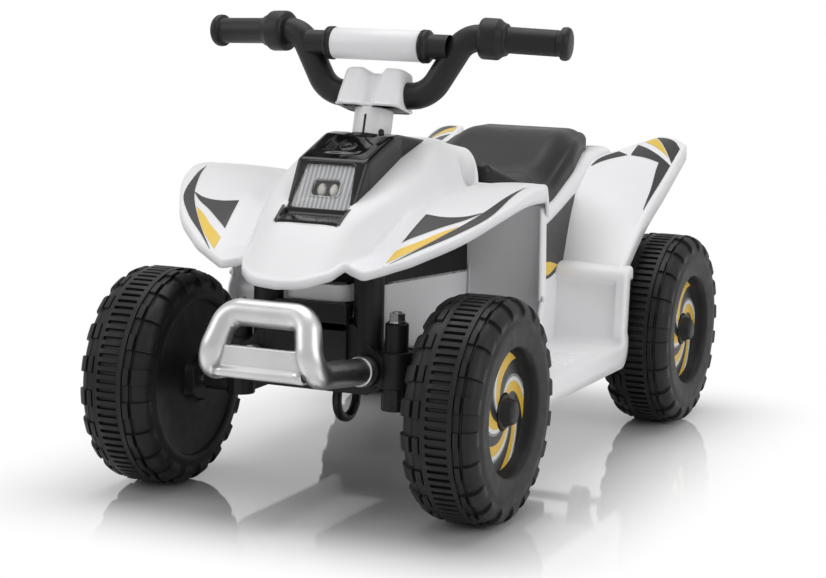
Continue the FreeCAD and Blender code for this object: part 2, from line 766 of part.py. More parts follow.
def nose(inset):
    """Fore-body below the black carrier, open underneath where its hollow is cut."""
    walls = slab_plan(nose_plan(inset), 80, NOSE_TOP_Z)
    if inset:
        return walls
    side = [(-252, 184), (NOSE_SHOULDER_Y - 6, 184), (NOSE_SHOULDER_Y, 146), (SHIELD_Y, 112), (SHIELD_Y, 200),
            (-252, 200)]
    return walls.common(slab_side(side, -90, 90))


def cowl_carrier():
    """Black collar on the fore-body that holds up the cowl."""
    front = block(-90, 90, NOSE_SHOULDER_Y - 4, SHIELD_Y, NOSE_TOP_Z, 320)
    ring = slab_plan(nose_plan(0), NOSE_TOP_Z, 320).cut(slab_plan(nose_plan(WALL), NOSE_TOP_Z - 1, 321))
    ring = ring.fuse(block(-40, 40, NOSE_SHOULDER_Y - 4, NOSE_SHOULDER_Y - 1, NOSE_TOP_Z, 245))
    neighbours = [headlight_bezel(), front_cowl(), footwell(), mirrored(footwell())]
    shape = below_cowl(ring.common(front)).cut(neighbours)
    return max(shape.Solids, key=lambda solid: solid.Volume)


@functools.cache
def footwell():
    """Left footwell: leg shield with a toe ledge, floor and rear wall as one bent sheet with a skirt."""
    corners = [(SHIELD_Y, 262), (-93, 174), (-103, 162), (-97, FOOTREST_Z), (FOOTWELL_REAR_Y - 5, FOOTREST_Z),
               (FOOTWELL_REAR_Y, 186)]
    path = route([Vector(60, y, z) for y, z in corners], [0, 6, 6, 20, 10, 0])
    sheet = path.makeOffset2D(WALL, fill=True, openResult=True)
    panel = sheet.extrude(Vector(FOOTREST_X - 60, 0, 0))
    front, rear = -100, FOOTWELL_REAR_Y
    skirt = slab_side([(front, 84), (front + 12, 77), (rear - 6, 75), (rear, 80), (rear, 103), (front, 103)],
                      FOOTREST_X - WALL, FOOTREST_X, [4, 10, 4, 0, 0, 0])
    border_x = FOOTREST_X - 11
    corner_bends = [0, 0, 8, 0]
    raised = [(80, FOOTREST_Z), (FOOTREST_X, FOOTREST_Z), (FOOTREST_X, 184), (80, 184)]
    recess = [(80, 90), (border_x, 90), (border_x, 172), (80, 174)]
    border = slab_front(raised, rear - 8, rear + 2, corner_bends)
    border = border.cut(slab_front(recess, rear - 9, rear - 1, corner_bends))
    shape = panel.fuse([skirt, border])
    for i in range(6):
        y = -38 + 22 * i
        shape = shape.fuse(block(104, 146, y, y + 7, FOOTREST_Z - 1, FOOTREST_Z + 2))
    return shape


def spline_points(places, count):
    """Points along a smooth curve through a few places."""
    curve = Part.BSplineCurve()
    curve.interpolate([Vector(*place) for place in places])
    return curve.toShape().discretize(count)


def flange(line, depth, across):
    """A strip that hangs down from a line of points, with its thickness as a vector."""
    sections = []
    for p in line:
        foot = p - Vector(0, 0, depth)
        sections.append([p, foot, foot + across, p + across])
    return flat_skin(sections, looped=False)


def rear_fender():
    """Left rear fender: a twisted sheet between the flank and its outer rim, with flanges."""
    wall = FLANK_X - 1
    at_flank = [(wall, 150, 176), (wall, 186, 243), (wall, 231, 272), (106, 300, 287), (120, 358, 294)]
    outside = [(153, FOOTWELL_REAR_Y - 4, 184), (156, 206, 225), (155, 270, 253), (152, 355, 288)]
    inner = spline_points(at_flank, FENDER_STATIONS)
    outer = spline_points(outside, FENDER_STATIONS)
    sheet = slab_under([inner, outer], 0, 4)
    rim_flange = flange(outer, SKIRT_DEPTH, Vector(-WALL, 0, 0))
    back = flange([inner[-1], outer[-1]], SKIRT_DEPTH, Vector(0, -WALL, 0))
    lip = flange(inner, 14, Vector(WALL, 0, 0))
    return sheet.fuse([rim_flange, back, lip])


def axle_bracket():
    """Left bearer of the rear axle under the seat tub."""
    outline = [(226, 140), (REAR_AXLE_Y - 14, 92), (REAR_AXLE_Y, 84), (REAR_AXLE_Y + 14, 92), (276, 140)]
    plate = slab_side(outline, FLANK_X - 15, FLANK_X - 1, [0, 8, 12, 8, 0])
    start, end = Vector(0, REAR_AXLE_Y, WHEEL_RADIUS), Vector(120, REAR_AXLE_Y, WHEEL_RADIUS)
    return plate.cut(tube([start, end], BUSH_RADIUS, 0))


def main_body():
    """White main moulding: nose, leg shields, footwells, seat tub and rear fenders."""
    side = footwell().fuse(rear_fender())
    shape = body_tub(FLANK_X, 0, 0).fuse([nose(0), side, mirrored(side)])
    shape = shape.cut([body_tub(FLANK_X - WALL, WALL, WALL), nose(WALL)])
    shape = shape.fuse([axle_bracket(), mirrored(axle_bracket())])
    shape = below_cowl(shape).cut([front_cowl(), headlight_bezel(), switch_window()])
    return max(shape.Solids, key=lambda solid: solid.Volume)


def chassis_pan():
    """Black tray that closes the seat tub from below and carries the battery."""
    tray = slab_plan(symmetric([(0, -94), (78, -94), (78, 148), (0, 148)]), 80, 92.8, 10)
    return tray.cut(slab_plan(symmetric([(0, -88), (70, -88), (70, 142), (0, 142)]), 84, 100, 8))


# Seat

def seat_height(x, y):
    """Saddle with a dished pan, raised sides and a high tail."""
    pan = 268.0 + 0.0042 * max(95.0 - y, 0.0) ** 2
    tail = 38.0 * smooth(y, 120.0, 232.0) - 0.016 * max(y - 262.0, 0.0) ** 2
    across = abs(x) / 80.0
    dish = 7.0 * across ** 2 * (1.0 - smooth(y, 150.0, 240.0))
    shoulder = -30.0 * max(across - 0.55, 0.0) ** 2 / 0.2
    return pan + tail + dish + shoulder


def seat():
    """Black moulded saddle."""
    half = [(0, -22), (34, -20), (60, 50), (79, 110), (77, 200), (66, 270), (46, 305), (0, 310)]
    bends = [0, 14, 120, 60, 120, 60, 30, 0]
    prism = slab_plan(symmetric(half), 200, 340, bends + bends[1:-1][::-1])
    grid = [[Vector(x, y, seat_height(x, y)) for x in evenly(-82, 82, 13)] for y in evenly(-24, 312, 17)]
    shape = prism.common(slab_under(grid, 0, 130)).cut(under_saddle(-100, 100, 40))
    shape = shape.cut(front_cowl_space())
    return max(shape.Solids, key=lambda solid: solid.Volume)


def front_cowl_space():
    """Room that the tank's tail takes from the seat."""
    return Part.Face(cowl_outline().makeOffset2D(MOVING_GAP)).extrude(Vector(0, 0, 400))


# Drive and electrics

def rear_axle():
    end = Vector(REAR_WHEEL_X + AXLE_OVERHANG, REAR_AXLE_Y, WHEEL_RADIUS)
    return rod(Vector(-end.x, end.y, end.z), end, AXLE_RADIUS)


def rear_axle_bushes():
    """Flanged bushes that carry the axle in the body's bearers."""
    profile = [(FLANK_X - 15, 0), (FLANK_X - 15, BUSH_RADIUS), (FLANK_X - 1, BUSH_RADIUS), (FLANK_X - 1, 11),
               (FLANK_X + 2, 11), (FLANK_X + 2, 0)]
    bush = turned(profile, Vector(0, REAR_AXLE_Y, WHEEL_RADIUS), Vector(1, 0, 0), TUBE_SIDES).cut(rear_axle())
    return Part.makeCompound([bush, mirrored(bush)])


def gearbox_case():
    """Closed reduction gearbox on the right end of the axle."""
    near, far = -88.0, -120.0
    y, z = REAR_AXLE_Y, WHEEL_RADIUS
    wide = tube([Vector(near, y, z), Vector(far, y, z)], 33, 0, GRIP_SIDES)
    narrow = tube([Vector(near, 196, 105), Vector(far, 196, 105)], 22, 0, GRIP_SIDES)
    bridge = slab_side([(196, 83), (y, 67), (y, 133), (196, 127)], far, near)
    shape = wide.fuse([narrow, bridge])
    return shape.cut(rear_axle())


def drive_motor():
    return turned([(-87.9, 0), (-87.9, 16), (-40, 16), (-38, 14), (-38, 5), (-34, 5), (-34, 0)],
                  Vector(0, 196, 105), Vector(1, 0, 0), GRIP_SIDES)


def battery():
    case = block(-35, 35, 10, 117, 84, 176)
    case = case.makeFillet(3, [e for e in case.Edges if abs(e.Vertexes[0].Z - e.Vertexes[1].Z) > 50])
    posts = [block(x, x + 6, 30, 38, 176, 184) for x in (-24, 18)]
    return case.fuse(posts)


# Bumper

@functools.cache
def bumper_bar():
    """Silver tube: arms from the frame, corners, legs and a top bar in one loop."""
    left = [BUMPER_END, BUMPER_LOW, BUMPER_TOP]
    points = left + [Vector(-p.x, p.y, p.z) for p in reversed(left)]
    return tube(points, BUMPER_RADIUS, [0, 18, 17, 17, 18, 0])


def bumper_plate():
    """Flat plate that fills the lower half of the bumper's loop."""
    plate = slab_front(symmetric([(0, 131), (43, 131), (37, 156), (0, 156)]), -356.5, -351)
    shape = plate.cut(bumper_bar())
    return max(shape.Solids, key=lambda solid: solid.Volume)


# Foot pedal and switches on the rider's right

def foot_pedal():
    """Accelerator pedal, hinged at its heel on the right footrest."""
    outline = [(-60, 113), (-58, 119), (4, 108), (8, 105), (8, 102), (-2, 102)]
    pedal = slab_side(outline, -148, -106)
    return pedal.cut(rod(Vector(-160, 4, 104), Vector(-90, 4, 104), PEDAL_PIN_RADIUS + RUNNING_GAP))


def pedal_pivot():
    """Hinge pin of the pedal with its two ears."""
    pin = rod(Vector(-154, 4, 104), Vector(-100, 4, 104), PEDAL_PIN_RADIUS)
    floor = FOOTREST_Z
    ears = [slab_side([(0, floor), (8, floor), (8, 106), (4, 108), (0, 106)], x, x + 4) for x in (-154, -104)]
    return pin.fuse(ears)


def switch_window():
    """Window of the direction switch in the right flank."""
    return block(-FLANK_X - 4, -FLANK_X + 4, SWITCH_Y - 11, SWITCH_Y + 11, SWITCH_Z - 8, SWITCH_Z + 8)


def rocker_frame():
    """Bezel of the direction switch."""
    x = -FLANK_X
    signs = [(-1, -1), (1, -1), (1, 1), (-1, 1)]
    corners = [(SWITCH_Y + 17 * ahead, SWITCH_Z + 14 * up) for ahead, up in signs]
    frame = slab_side(corners, x - 2.5, x, 4)
    return frame.cut(switch_window()).fuse(rocker_pin(10, ROCKER_PIN_RADIUS))


def rocker_pin(half_length, radius):
    """Upright pin that the rocker tips about."""
    start = Vector(ROCKER_PIN_X, SWITCH_Y, SWITCH_Z - half_length)
    return rod(start, start + Vector(0, 0, 2 * half_length), radius)


def direction_rocker():
    """Rocker that tips about an upright axis between forward and reverse."""
    x = -FLANK_X
    half = 10.2
    low, high = SWITCH_Y - half, SWITCH_Y + half
    outline = [(x + 1, low), (x - 5, low), (x - 3.2, SWITCH_Y), (x - 5, high), (x + 1, high)]
    rocker = slab_plan(outline, SWITCH_Z - 7.4, SWITCH_Z + 7.4)
    return rocker.cut(rocker_pin(20, ROCKER_PIN_RADIUS + RUNNING_GAP))


def charge_socket():
    x = -FLANK_X
    body = tube([Vector(x, 100, 178), Vector(x - 3, 100, 178)], 9, 0)
    return body.cut(tube([Vector(x - 4, 100, 178), Vector(x - 1, 100, 178)], 4, 0))


def main():
    os.makedirs("parts", exist_ok=True)
    save_wheels()
    for piece in [knuckle, kingpin, kingpin_nut, stub_axle, grip]:
        shape = piece()
        save(piece.__name__ + "_left", shape)
        save(piece.__name__ + "_right", mirrored(shape))
    pieces = [
        front_frame, tie_rod, steering_rod, column_sleeve, handlebar, crossbar, crossbar_pad, handlebar_clamp,
        front_cowl, headlight_bezel, headlight_lens, headlight_reflector, headlight_leds, main_body,
        cowl_carrier, chassis_pan, seat, rear_axle, rear_axle_bushes, gearbox_case, drive_motor, battery,
        bumper_bar, bumper_plate, foot_pedal, pedal_pivot, rocker_frame, direction_rocker, charge_socket,
    ]
    for piece in pieces:
        save(piece.__name__, piece())


main()
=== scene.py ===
# %% [markdown]
# # A toddler's quad bike
# The bike comes from a construction model: every piece has its real size and place, and rides on a body
# that a joint can move. This lesson gives it its looks. Pieces whose solid is right only get a finish.
# Pieces with moulded curves are made again as surfaces: each is a formula of two parameters, worked out
# as whole arrays.

# %% Load the frame
import json
import math
import bmesh
import bpy
import numpy as np
from mathutils import Matrix, Vector


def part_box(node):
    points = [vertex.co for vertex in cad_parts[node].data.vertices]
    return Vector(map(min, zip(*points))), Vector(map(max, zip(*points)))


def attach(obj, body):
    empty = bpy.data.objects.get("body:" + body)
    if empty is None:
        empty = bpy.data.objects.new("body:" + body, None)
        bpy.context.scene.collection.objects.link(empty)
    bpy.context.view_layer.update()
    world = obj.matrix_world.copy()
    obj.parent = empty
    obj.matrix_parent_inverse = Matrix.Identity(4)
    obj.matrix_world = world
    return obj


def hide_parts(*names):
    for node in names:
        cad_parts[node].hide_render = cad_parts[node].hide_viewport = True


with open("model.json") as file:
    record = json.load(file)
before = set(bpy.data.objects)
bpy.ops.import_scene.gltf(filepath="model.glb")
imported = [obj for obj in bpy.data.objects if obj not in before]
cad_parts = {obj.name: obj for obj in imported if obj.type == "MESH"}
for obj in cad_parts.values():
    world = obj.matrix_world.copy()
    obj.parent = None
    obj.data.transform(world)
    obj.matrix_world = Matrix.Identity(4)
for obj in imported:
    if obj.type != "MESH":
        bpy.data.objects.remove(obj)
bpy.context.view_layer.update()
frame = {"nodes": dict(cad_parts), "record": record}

MM = 0.001

# %% [markdown]
# ## Camera
# The view is from the front left, a little above the bike, through a long lens. A camera can be turned by
# hand until the view fits. Here its place, its three angles and its focal length were worked out from the
# wheels, since four equal circles fix a view well.

# %% Camera
CAMERA_PLACE = Vector((0.8706, -1.9883, 0.4952))
CAMERA_YAW, CAMERA_PITCH, CAMERA_ROLL = (math.radians(angle) for angle in (23.986, 8.755, 1.2525))
FOCAL_LENGTH, SENSOR_WIDTH = 96.55, 36
camera_data = bpy.data.cameras.new("camera")
camera_data.sensor_width = SENSOR_WIDTH
camera_data.lens = FOCAL_LENGTH
camera = bpy.data.objects.new("camera", camera_data)
to_view = Matrix.Rotation(CAMERA_YAW, 3, "Z") @ Matrix.Rotation(math.pi / 2 - CAMERA_PITCH, 3, "X")
rolled_view = to_view @ Matrix.Rotation(CAMERA_ROLL, 3, "Z")
camera.matrix_world = Matrix.Translation(CAMERA_PLACE) @ rolled_view.to_4x4()
bpy.context.scene.collection.objects.link(camera)
bpy.context.scene.camera = camera
print("camera looks along", [round(c, 2) for c in to_view @ Vector((0, 0, -1))])

# %% [markdown]
# ## Shader nodes
# A material in Blender is a small network: each node has inputs that take a value or a link. Building it
# with the mouse is quick once, but a helper that adds a node and fills its inputs keeps a long list of
# finishes short and the same each time.

# %% Node helpers
def node(tree, kind, inputs=(), **settings):
    """Add a shader node, set its options, and fill its inputs with values or links."""
    made = tree.nodes.new("ShaderNode" + kind)
    for key, value in settings.items():
        setattr(made, key, value)
    for key, value in dict(inputs).items():
        if isinstance(value, bpy.types.NodeSocket):
            tree.links.new(value, made.inputs[key])
        else:
            made.inputs[key].default_value = value
    return made


def math_node(tree, operation, *values):
    """Add a Math node for one operation and return its result."""
    return node(tree, "Math", enumerate(values), operation=operation).outputs[0]


def vector_node(tree, operation, *values):
    """Add a Vector Math node for one operation."""
    return node(tree, "VectorMath", enumerate(values), operation=operation)


print("node helpers ready")

# %% [markdown]
# ## Studio
# A white studio is a pale floor under large soft lamps. A curved backdrop would need a wide set, so this
# floor fades to plain white away from the bike instead and has no horizon. A faint gloss lets the wheels
# mirror in it. Light Path tells which ray sees the floor: the white is for the camera and for clear
# plastic, and only a part of it for mirrors, so that black pieces stay black.

# %% Floor
FLOOR_SIZE = 12.0
FOOTPRINT_HALF = (0.17, 0.31, 0)
FADE_WIDTH = 0.17
FLOOR_COLOUR = (0.93, 0.93, 0.935, 1)
FLOOR_GLOSS, FLOOR_ROUGHNESS = 0.42, 0.05
MIRROR_SHARE = 0.45
WHITE = (1, 1, 1, 1)


def seen_directly(tree):
    """1 for rays from the camera or through clear plastic, and MIRROR_SHARE for mirrored rays."""
    path = node(tree, "LightPath").outputs
    direct = math_node(tree, "MAXIMUM", path["Is Camera Ray"], path["Is Transmission Ray"])
    in_mirrors = math_node(tree, "MULTIPLY", path["Is Glossy Ray"], MIRROR_SHARE)
    return math_node(tree, "MAXIMUM", direct, in_mirrors)


def empty_material(name):
    """A new material with no nodes in its tree."""
    material = bpy.data.materials.new(name)
    material.use_nodes = True
    material.node_tree.nodes.clear()
    return material, material.node_tree


def floor_finish():
    """Matte and gloss mixed; white grows with the distance outside the bike's footprint."""
    material, tree = empty_material("pale_floor")
    aside = vector_node(tree, "ABSOLUTE", node(tree, "TexCoord").outputs["Object"]).outputs[0]
    aside = vector_node(tree, "SUBTRACT", aside, FOOTPRINT_HALF).outputs[0]
    aside = vector_node(tree, "MAXIMUM", aside, (0, 0, 0)).outputs[0]
    away = vector_node(tree, "LENGTH", aside).outputs["Value"]
    fade = node(tree, "MapRange", {0: away, 1: 0.0, 2: FADE_WIDTH}, interpolation_type="SMOOTHSTEP")
    matte = node(tree, "BsdfDiffuse", {"Color": FLOOR_COLOUR}).outputs[0]
    gloss = node(tree, "BsdfGlossy", {"Color": WHITE, "Roughness": FLOOR_ROUGHNESS}).outputs[0]
    surface = node(tree, "MixShader", {0: FLOOR_GLOSS, 1: matte, 2: gloss}).outputs[0]
    plain_white = node(tree, "Emission", {"Color": WHITE, "Strength": 1.0}).outputs[0]
    share = math_node(tree, "MULTIPLY", fade.outputs[0], seen_directly(tree))
    mixed = node(tree, "MixShader", {0: share, 1: surface, 2: plain_white}).outputs[0]
    node(tree, "OutputMaterial", {"Surface": mixed})
    return material


floor_mesh = bpy.data.meshes.new("floor")
reach = FLOOR_SIZE / 2
floor_corners = [(-reach, -reach, 0), (reach, -reach, 0), (reach, reach, 0), (-reach, reach, 0)]
floor_mesh.from_pydata(floor_corners, [], [(0, 1, 2, 3)])
floor_mesh.materials.append(floor_finish())
floor = bpy.data.objects.new("floor", floor_mesh)
bpy.context.scene.collection.objects.link(floor)
print("floor", FLOOR_SIZE, "m wide")

# %% [markdown]
# ## World and lamps
# The world gives an even light from all sides, which keeps shadows open. A photographed sky would colour
# the white shell, so plain white is used. Three square area lamps stand in for softboxes: one overhead
# for the tops, and one on each side for the edges and the tube's long highlights.

# %% World and lamps
AMBIENT = 0.46
BIKE_MIDDLE = Vector((0, 0, 0.2))
SOFTBOXES = {"top_softbox": ((-0.2, 0.2, 2.4), 2.0, 25), "left_softbox": ((-2.0, -1.4, 1.5), 1.6, 12),
             "right_softbox": ((2.3, -0.5, 1.3), 1.6, 14)}
world = bpy.data.worlds.new("studio")
bpy.context.scene.world = world
world.use_nodes = True
sky = world.node_tree
sky.nodes.clear()
shown = node(sky, "Background", {"Color": WHITE, "Strength": 1.0}).outputs[0]
ambient = node(sky, "Background", {"Color": WHITE, "Strength": AMBIENT}).outputs[0]
both = node(sky, "MixShader", {0: seen_directly(sky), 1: ambient, 2: shown}).outputs[0]
node(sky, "OutputWorld", {"Surface": both})
for name, (place, size, watts) in SOFTBOXES.items():
    data = bpy.data.lights.new(name, "AREA")
    data.size, data.energy = size, watts
    lamp = bpy.data.objects.new(name, data)
    lamp.location = place
    lamp.rotation_euler = (BIKE_MIDDLE - Vector(place)).to_track_quat("-Z", "Y").to_euler()
    bpy.context.scene.collection.objects.link(lamp)
bpy.context.scene.view_settings.view_transform = "Standard"
print("lamps:", list(SOFTBOXES))

# %% [markdown]
# ## Moulded plastic
# Moulded plastic is never one flat colour. The white shell has a faint cloudiness and a satin skin that
# varies. Black pieces carry the fine spark-eroded grain of their mould. A photographed texture would have
# to be wrapped round every piece, so noise is used: it reads the object's own coordinates and stays on
# the piece as it moves.

# %% Pattern helpers
def start_finish(name):
    """A material with a Principled surface; returns it with its tree, that surface and the coordinates."""
    material, tree = empty_material(name)
    surface = node(tree, "BsdfPrincipled")
    node(tree, "OutputMaterial", {"Surface": surface.outputs[0]})
    return material, tree, surface, node(tree, "TexCoord").outputs["Object"]


def noise(tree, place, size, detail=2.0):
    """Cloudy pattern between 0 and 1 whose patches are about size millimetres."""
    return node(tree, "TexNoise", {"Vector": place, "Scale": 1 / (size * MM), "Detail": detail}).outputs[0]


def spread(tree, value, low, high):
    """Stretch the middle of a 0 to 1 pattern to the range from low to high."""
    return node(tree, "MapRange", {0: value, 1: 0.3, 2: 0.7, 3: low, 4: high}).outputs[0]


def shade(tree, value, dark, light):
    """Colour between two tones, by a 0 to 1 pattern."""
    return node(tree, "Mix", {0: value, 6: (*dark, 1), 7: (*light, 1)}, data_type="RGBA").outputs[2]


def bump(tree, height, depth):
    """Raise the surface by a pattern, depth in millimetres."""
    return node(tree, "Bump", {"Height": height, "Distance": depth * MM, "Strength": 1.0}).outputs[0]


print("pattern helpers ready")

# %% Plastics and metals
CLOUD_SIZE, SHEEN_SIZE = 45, 12
DARK_LIMIT = 0.1


def moulded(name, dark, light, gloss, grain, depth, coat=0.0):
    """Two close tones in large clouds, roughness between the two values of gloss, and a fine grain."""
    material, tree, surface, place = start_finish(name)
    tone = shade(tree, spread(tree, noise(tree, place, CLOUD_SIZE), 0.0, 1.0), dark, light)
    tree.links.new(tone, surface.inputs["Base Color"])
    tree.links.new(spread(tree, noise(tree, place, SHEEN_SIZE), *gloss), surface.inputs["Roughness"])
    if depth:
        tree.links.new(bump(tree, noise(tree, place, grain, 3.0), depth), surface.inputs["Normal"])
    surface.inputs["Specular IOR Level"].default_value = 0.5 if light[0] > DARK_LIMIT else 0.3
    surface.inputs["Coat Weight"].default_value = coat
    surface.inputs["Coat Roughness"].default_value = 0.08
    return material


def metal(*settings):
    """Metal or metallic paint: the same patterns under a mirror-like surface."""
    material = moulded(*settings)
    material.node_tree.nodes["Principled BSDF"].inputs["Metallic"].default_value = 1.0
    return material


FINISH = {
    "body_white": moulded("white_shell", (0.835, 0.835, 0.85), (0.85, 0.85, 0.862), (0.30, 0.36), 0, 0),
    "black_plastic": moulded("black_plastic", (0.008, 0.008, 0.008), (0.013, 0.012, 0.012), (0.42, 0.54),
                             0.55, 0.03),
    "grip_black": moulded("grip_black", (0.011, 0.010, 0.010), (0.016, 0.015, 0.015), (0.38, 0.46),
                          0.7, 0.02),
    "gloss_black": moulded("gloss_black", (0.005, 0.005, 0.005), (0.008, 0.008, 0.008), (0.07, 0.11),
                           30, 0.01, 0.15),
    "wheel_black": moulded("wheel_black", (0.006, 0.0055, 0.0055), (0.010, 0.0095, 0.0095), (0.42, 0.52),
                           0.8, 0.025),
    "seat_black": moulded("seat_black", (0.007, 0.0065, 0.0065), (0.011, 0.010, 0.010), (0.34, 0.42),
                          1.1, 0.04),
    "lamp_back": moulded("lamp_back", (0.010, 0.010, 0.011), (0.016, 0.016, 0.017), (0.3, 0.4), 1.0, 0.02),
    "led": moulded("lamp_dome", (0.7, 0.68, 0.6), (0.85, 0.83, 0.75), (0.1, 0.2), 4, 0.02),
    "vinyl_dark": moulded("vinyl_dark", (0.036, 0.034, 0.036), (0.045, 0.042, 0.045), (0.3, 0.36), 0, 0),
    "vinyl_yellow": moulded("vinyl_yellow", (0.80, 0.52, 0.042), (0.85, 0.58, 0.055), (0.3, 0.36), 0, 0),
    "nylon": moulded("nylon", (0.6, 0.6, 0.57), (0.7, 0.7, 0.67), (0.4, 0.5), 0.8, 0.02),
    "battery_case": moulded("battery_case", (0.05, 0.05, 0.055), (0.075, 0.075, 0.08), (0.4, 0.5), 0.8, 0.03),
    "steel_black": moulded("black_rod", (0.010, 0.010, 0.010), (0.018, 0.017, 0.017), (0.28, 0.4), 0.8, 0.02),
    "silver": metal("satin_silver", (0.60, 0.60, 0.605), (0.68, 0.68, 0.685), (0.30, 0.38), 0.9, 0.012),
    "steel": metal("zinc_steel", (0.42, 0.42, 0.41), (0.60, 0.60, 0.58), (0.22, 0.36), 0.6, 0.01),
}
print(len(FINISH), "plastics and metals")

# %% [markdown]
# ## Lens and lamp tray
# The lens is clear plastic: light goes through it, and its skin is almost smooth. Behind it is a plated
# tray with flutes. Mirrors that small would turn to noise in a render, so their light and dark bars are
# painted reflection in its colour: a sine wave of the place across the bike, on top of real flutes.

# %% Lens and lamp tray finishes
FLUTE_PITCH = 4.2
# Tones of the painted reflection: the dark and light bars of the plated flutes.
FLUTE_PAINTED_SHADE, FLUTE_PAINTED_HIGHLIGHT = (0.36, 0.36, 0.37), (0.78, 0.78, 0.79)


def clear_plastic():
    """Full transmission with a little cloudy roughness."""
    material, tree, surface, place = start_finish("clear_lens")
    tree.links.new(spread(tree, noise(tree, place, 8), 0.03, 0.07), surface.inputs["Roughness"])
    surface.inputs["Base Color"].default_value = (0.97, 0.975, 0.98, 1)
    surface.inputs["Transmission Weight"].default_value = 1.0
    surface.inputs["IOR"].default_value = 1.45
    return material


def painted_reflection_tray():
    """Painted reflection: tone by the sine of the place across, with one wave in each FLUTE_PITCH."""
    material, tree, surface, place = start_finish("painted_reflection_tray")
    across = node(tree, "SeparateXYZ", {0: place}).outputs["X"]
    wave = math_node(tree, "SINE", math_node(tree, "MULTIPLY", across, 2 * math.pi / (FLUTE_PITCH * MM)))
    level = spread(tree, math_node(tree, "MULTIPLY_ADD", wave, 0.2, 0.5), 0, 1)
    # Painted reflection: the sine picks each bar's tone, which goes into the base colour.
    tree.links.new(shade(tree, level, FLUTE_PAINTED_SHADE, FLUTE_PAINTED_HIGHLIGHT), surface.inputs["Base Color"])
    tree.links.new(spread(tree, noise(tree, place, 5), 0.35, 0.45), surface.inputs["Roughness"])
    return material


FINISH["clear_lens"] = clear_plastic()
FINISH["reflector"] = painted_reflection_tray()
print("lens and tray finished")

# %% [markdown]
# ## Print of the wheel trims
# Each wheel has a printed disc in its recess. An image could be laid on it, but a formula stays sharp:
# the angle round the hub plus a share of the distance from it repeats in twisted blades, and a colour
# ramp with hard steps paints each blade in bars. It reads the disc's own flat map, so it turns with the
# wheel.

# %% Print of the wheel trims
BLADES, BLADE_TWIST, BLADE_TAPER = 5, 2.4, 0.9
TRIM_BARS = [(0.0, (0.03, 0.03, 0.03)), (0.2, (0.72, 0.46, 0.04)), (0.43, (0.7, 0.7, 0.7)),
             (0.52, (0.25, 0.25, 0.25)), (0.58, (0.012, 0.012, 0.012))]


def printed_trim():
    """The fraction of angle times blades plus twist times distance, then thinned outwards, picks a bar."""
    material, tree, surface, place = start_finish("trim_print")
    flat = node(tree, "UVMap", uv_map="disc").outputs[0]
    flat = vector_node(tree, "SUBTRACT", flat, (0.5, 0.5, 0)).outputs[0]
    side = node(tree, "SeparateXYZ", {0: flat}).outputs
    angle = math_node(tree, "ARCTAN2", side["Y"], side["X"])
    turn = math_node(tree, "MULTIPLY", angle, BLADES / (2 * math.pi))
    radius = vector_node(tree, "LENGTH", flat).outputs["Value"]
    share = math_node(tree, "FRACT", math_node(tree, "MULTIPLY_ADD", radius, BLADE_TWIST, turn))
    level = math_node(tree, "MULTIPLY_ADD", radius, BLADE_TAPER, share)
    ramp = node(tree, "ValToRGB", {0: math_node(tree, "MULTIPLY", level, 0.6)})
    ramp.color_ramp.interpolation = "CONSTANT"
    for at, _ in TRIM_BARS[2:]:
        ramp.color_ramp.elements.new(at)
    for element, (at, colour) in zip(ramp.color_ramp.elements, TRIM_BARS):
        element.position, element.color = at, (*colour, 1)
    tree.links.new(ramp.outputs[0], surface.inputs["Base Color"])
    tree.links.new(spread(tree, noise(tree, place, 6), 0.3, 0.4), surface.inputs["Roughness"])
    return material


FINISH["wheel_trim"] = printed_trim()
print(len(FINISH), "finishes in all")

# %% [markdown]
# ## Pieces that keep their solid
# Axles, knuckles, nuts, the pedal and the motor are plain machined or moulded forms. They could be
# modelled again, but their solids are already right, so each only takes the finish of its slot in the
# record. Solids that are made again further on are hidden then.

# %% Finish the solids
SLOT_OF = {part["node"]: part["material_slot"] for part in frame["record"]["subparts"]}
for name, solid in frame["nodes"].items():
    solid.data.materials.clear()
    solid.data.materials.append(FINISH[SLOT_OF[name]])
print(len(frame["nodes"]), "solids finished")

# %% [markdown]
# ## From arrays to a piece
# A grid of points becomes a mesh when neighbouring points are joined into four-sided faces. If the grid
# goes round a ring, its last line joins its first. Modelling by hand would do for one piece, but a grid
# keeps every curve a formula that can be read and changed.

# %% Grids and faces
def grid_faces(rows, columns, ring_rows=False, ring_columns=False):
    """Corner numbers of the faces of a grid stored row by row; a ring joins its last line to its first."""
    row = np.arange(rows if ring_rows else rows - 1)
    column = np.arange(columns if ring_columns else columns - 1)
    i, j = np.meshgrid(row, column, indexing="ij")
    below, beside = (i + 1) % rows, (j + 1) % columns
    corners = [i * columns + j, i * columns + beside, below * columns + beside, below * columns + j]
    return np.stack(corners, axis=-1).reshape(-1, 4)


def patch(grid, ring_rows=False, ring_columns=False):
    """A grid of points of shape (rows, columns, 3) with its faces."""
    rows, columns = grid.shape[:2]
    return grid.reshape(-1, 3), grid_faces(rows, columns, ring_rows, ring_columns)


def joined(*patches):
    """Put several patches into one: the corner numbers of each start where the last one's points end."""
    starts = np.cumsum([0] + [len(points) for points, _ in patches])
    faces = np.concatenate([faces + start for (_, faces), start in zip(patches, starts)])
    return np.concatenate([points for points, _ in patches]), faces


def mirrored(shape):
    """The same shape on the other side of the bike: x changes sign, and the faces run the other way round."""
    points, faces = shape
    return points * [-1, 1, 1], faces[:, ::-1]


print("a grid of 3 by 4 points has", len(grid_faces(3, 4)), "faces")

# %% [markdown]
# ## Hanging a piece on its body
# Sizes in this lesson are in millimetres, with y counted from the middle of the wheelbase as in the
# drawing. One helper turns them into metres in the frame, merges points that meet, sets smooth shading
# with sharp creases and hangs the piece on its body. A sheet gets its wall from a Solidify modifier, as a
# moulded shell has one.

# %% Adding pieces
REAR_AXLE_Y = 251.7
axle_low, axle_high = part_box("rear_axle")
DRAWING_SHIFT = (axle_low.y + axle_high.y) / 2 / MM - REAR_AXLE_Y
MERGE_DISTANCE = 2e-6
CREASE = math.radians(38)
SHELL_WALL, PANEL_WALL = 2.6, 2.0


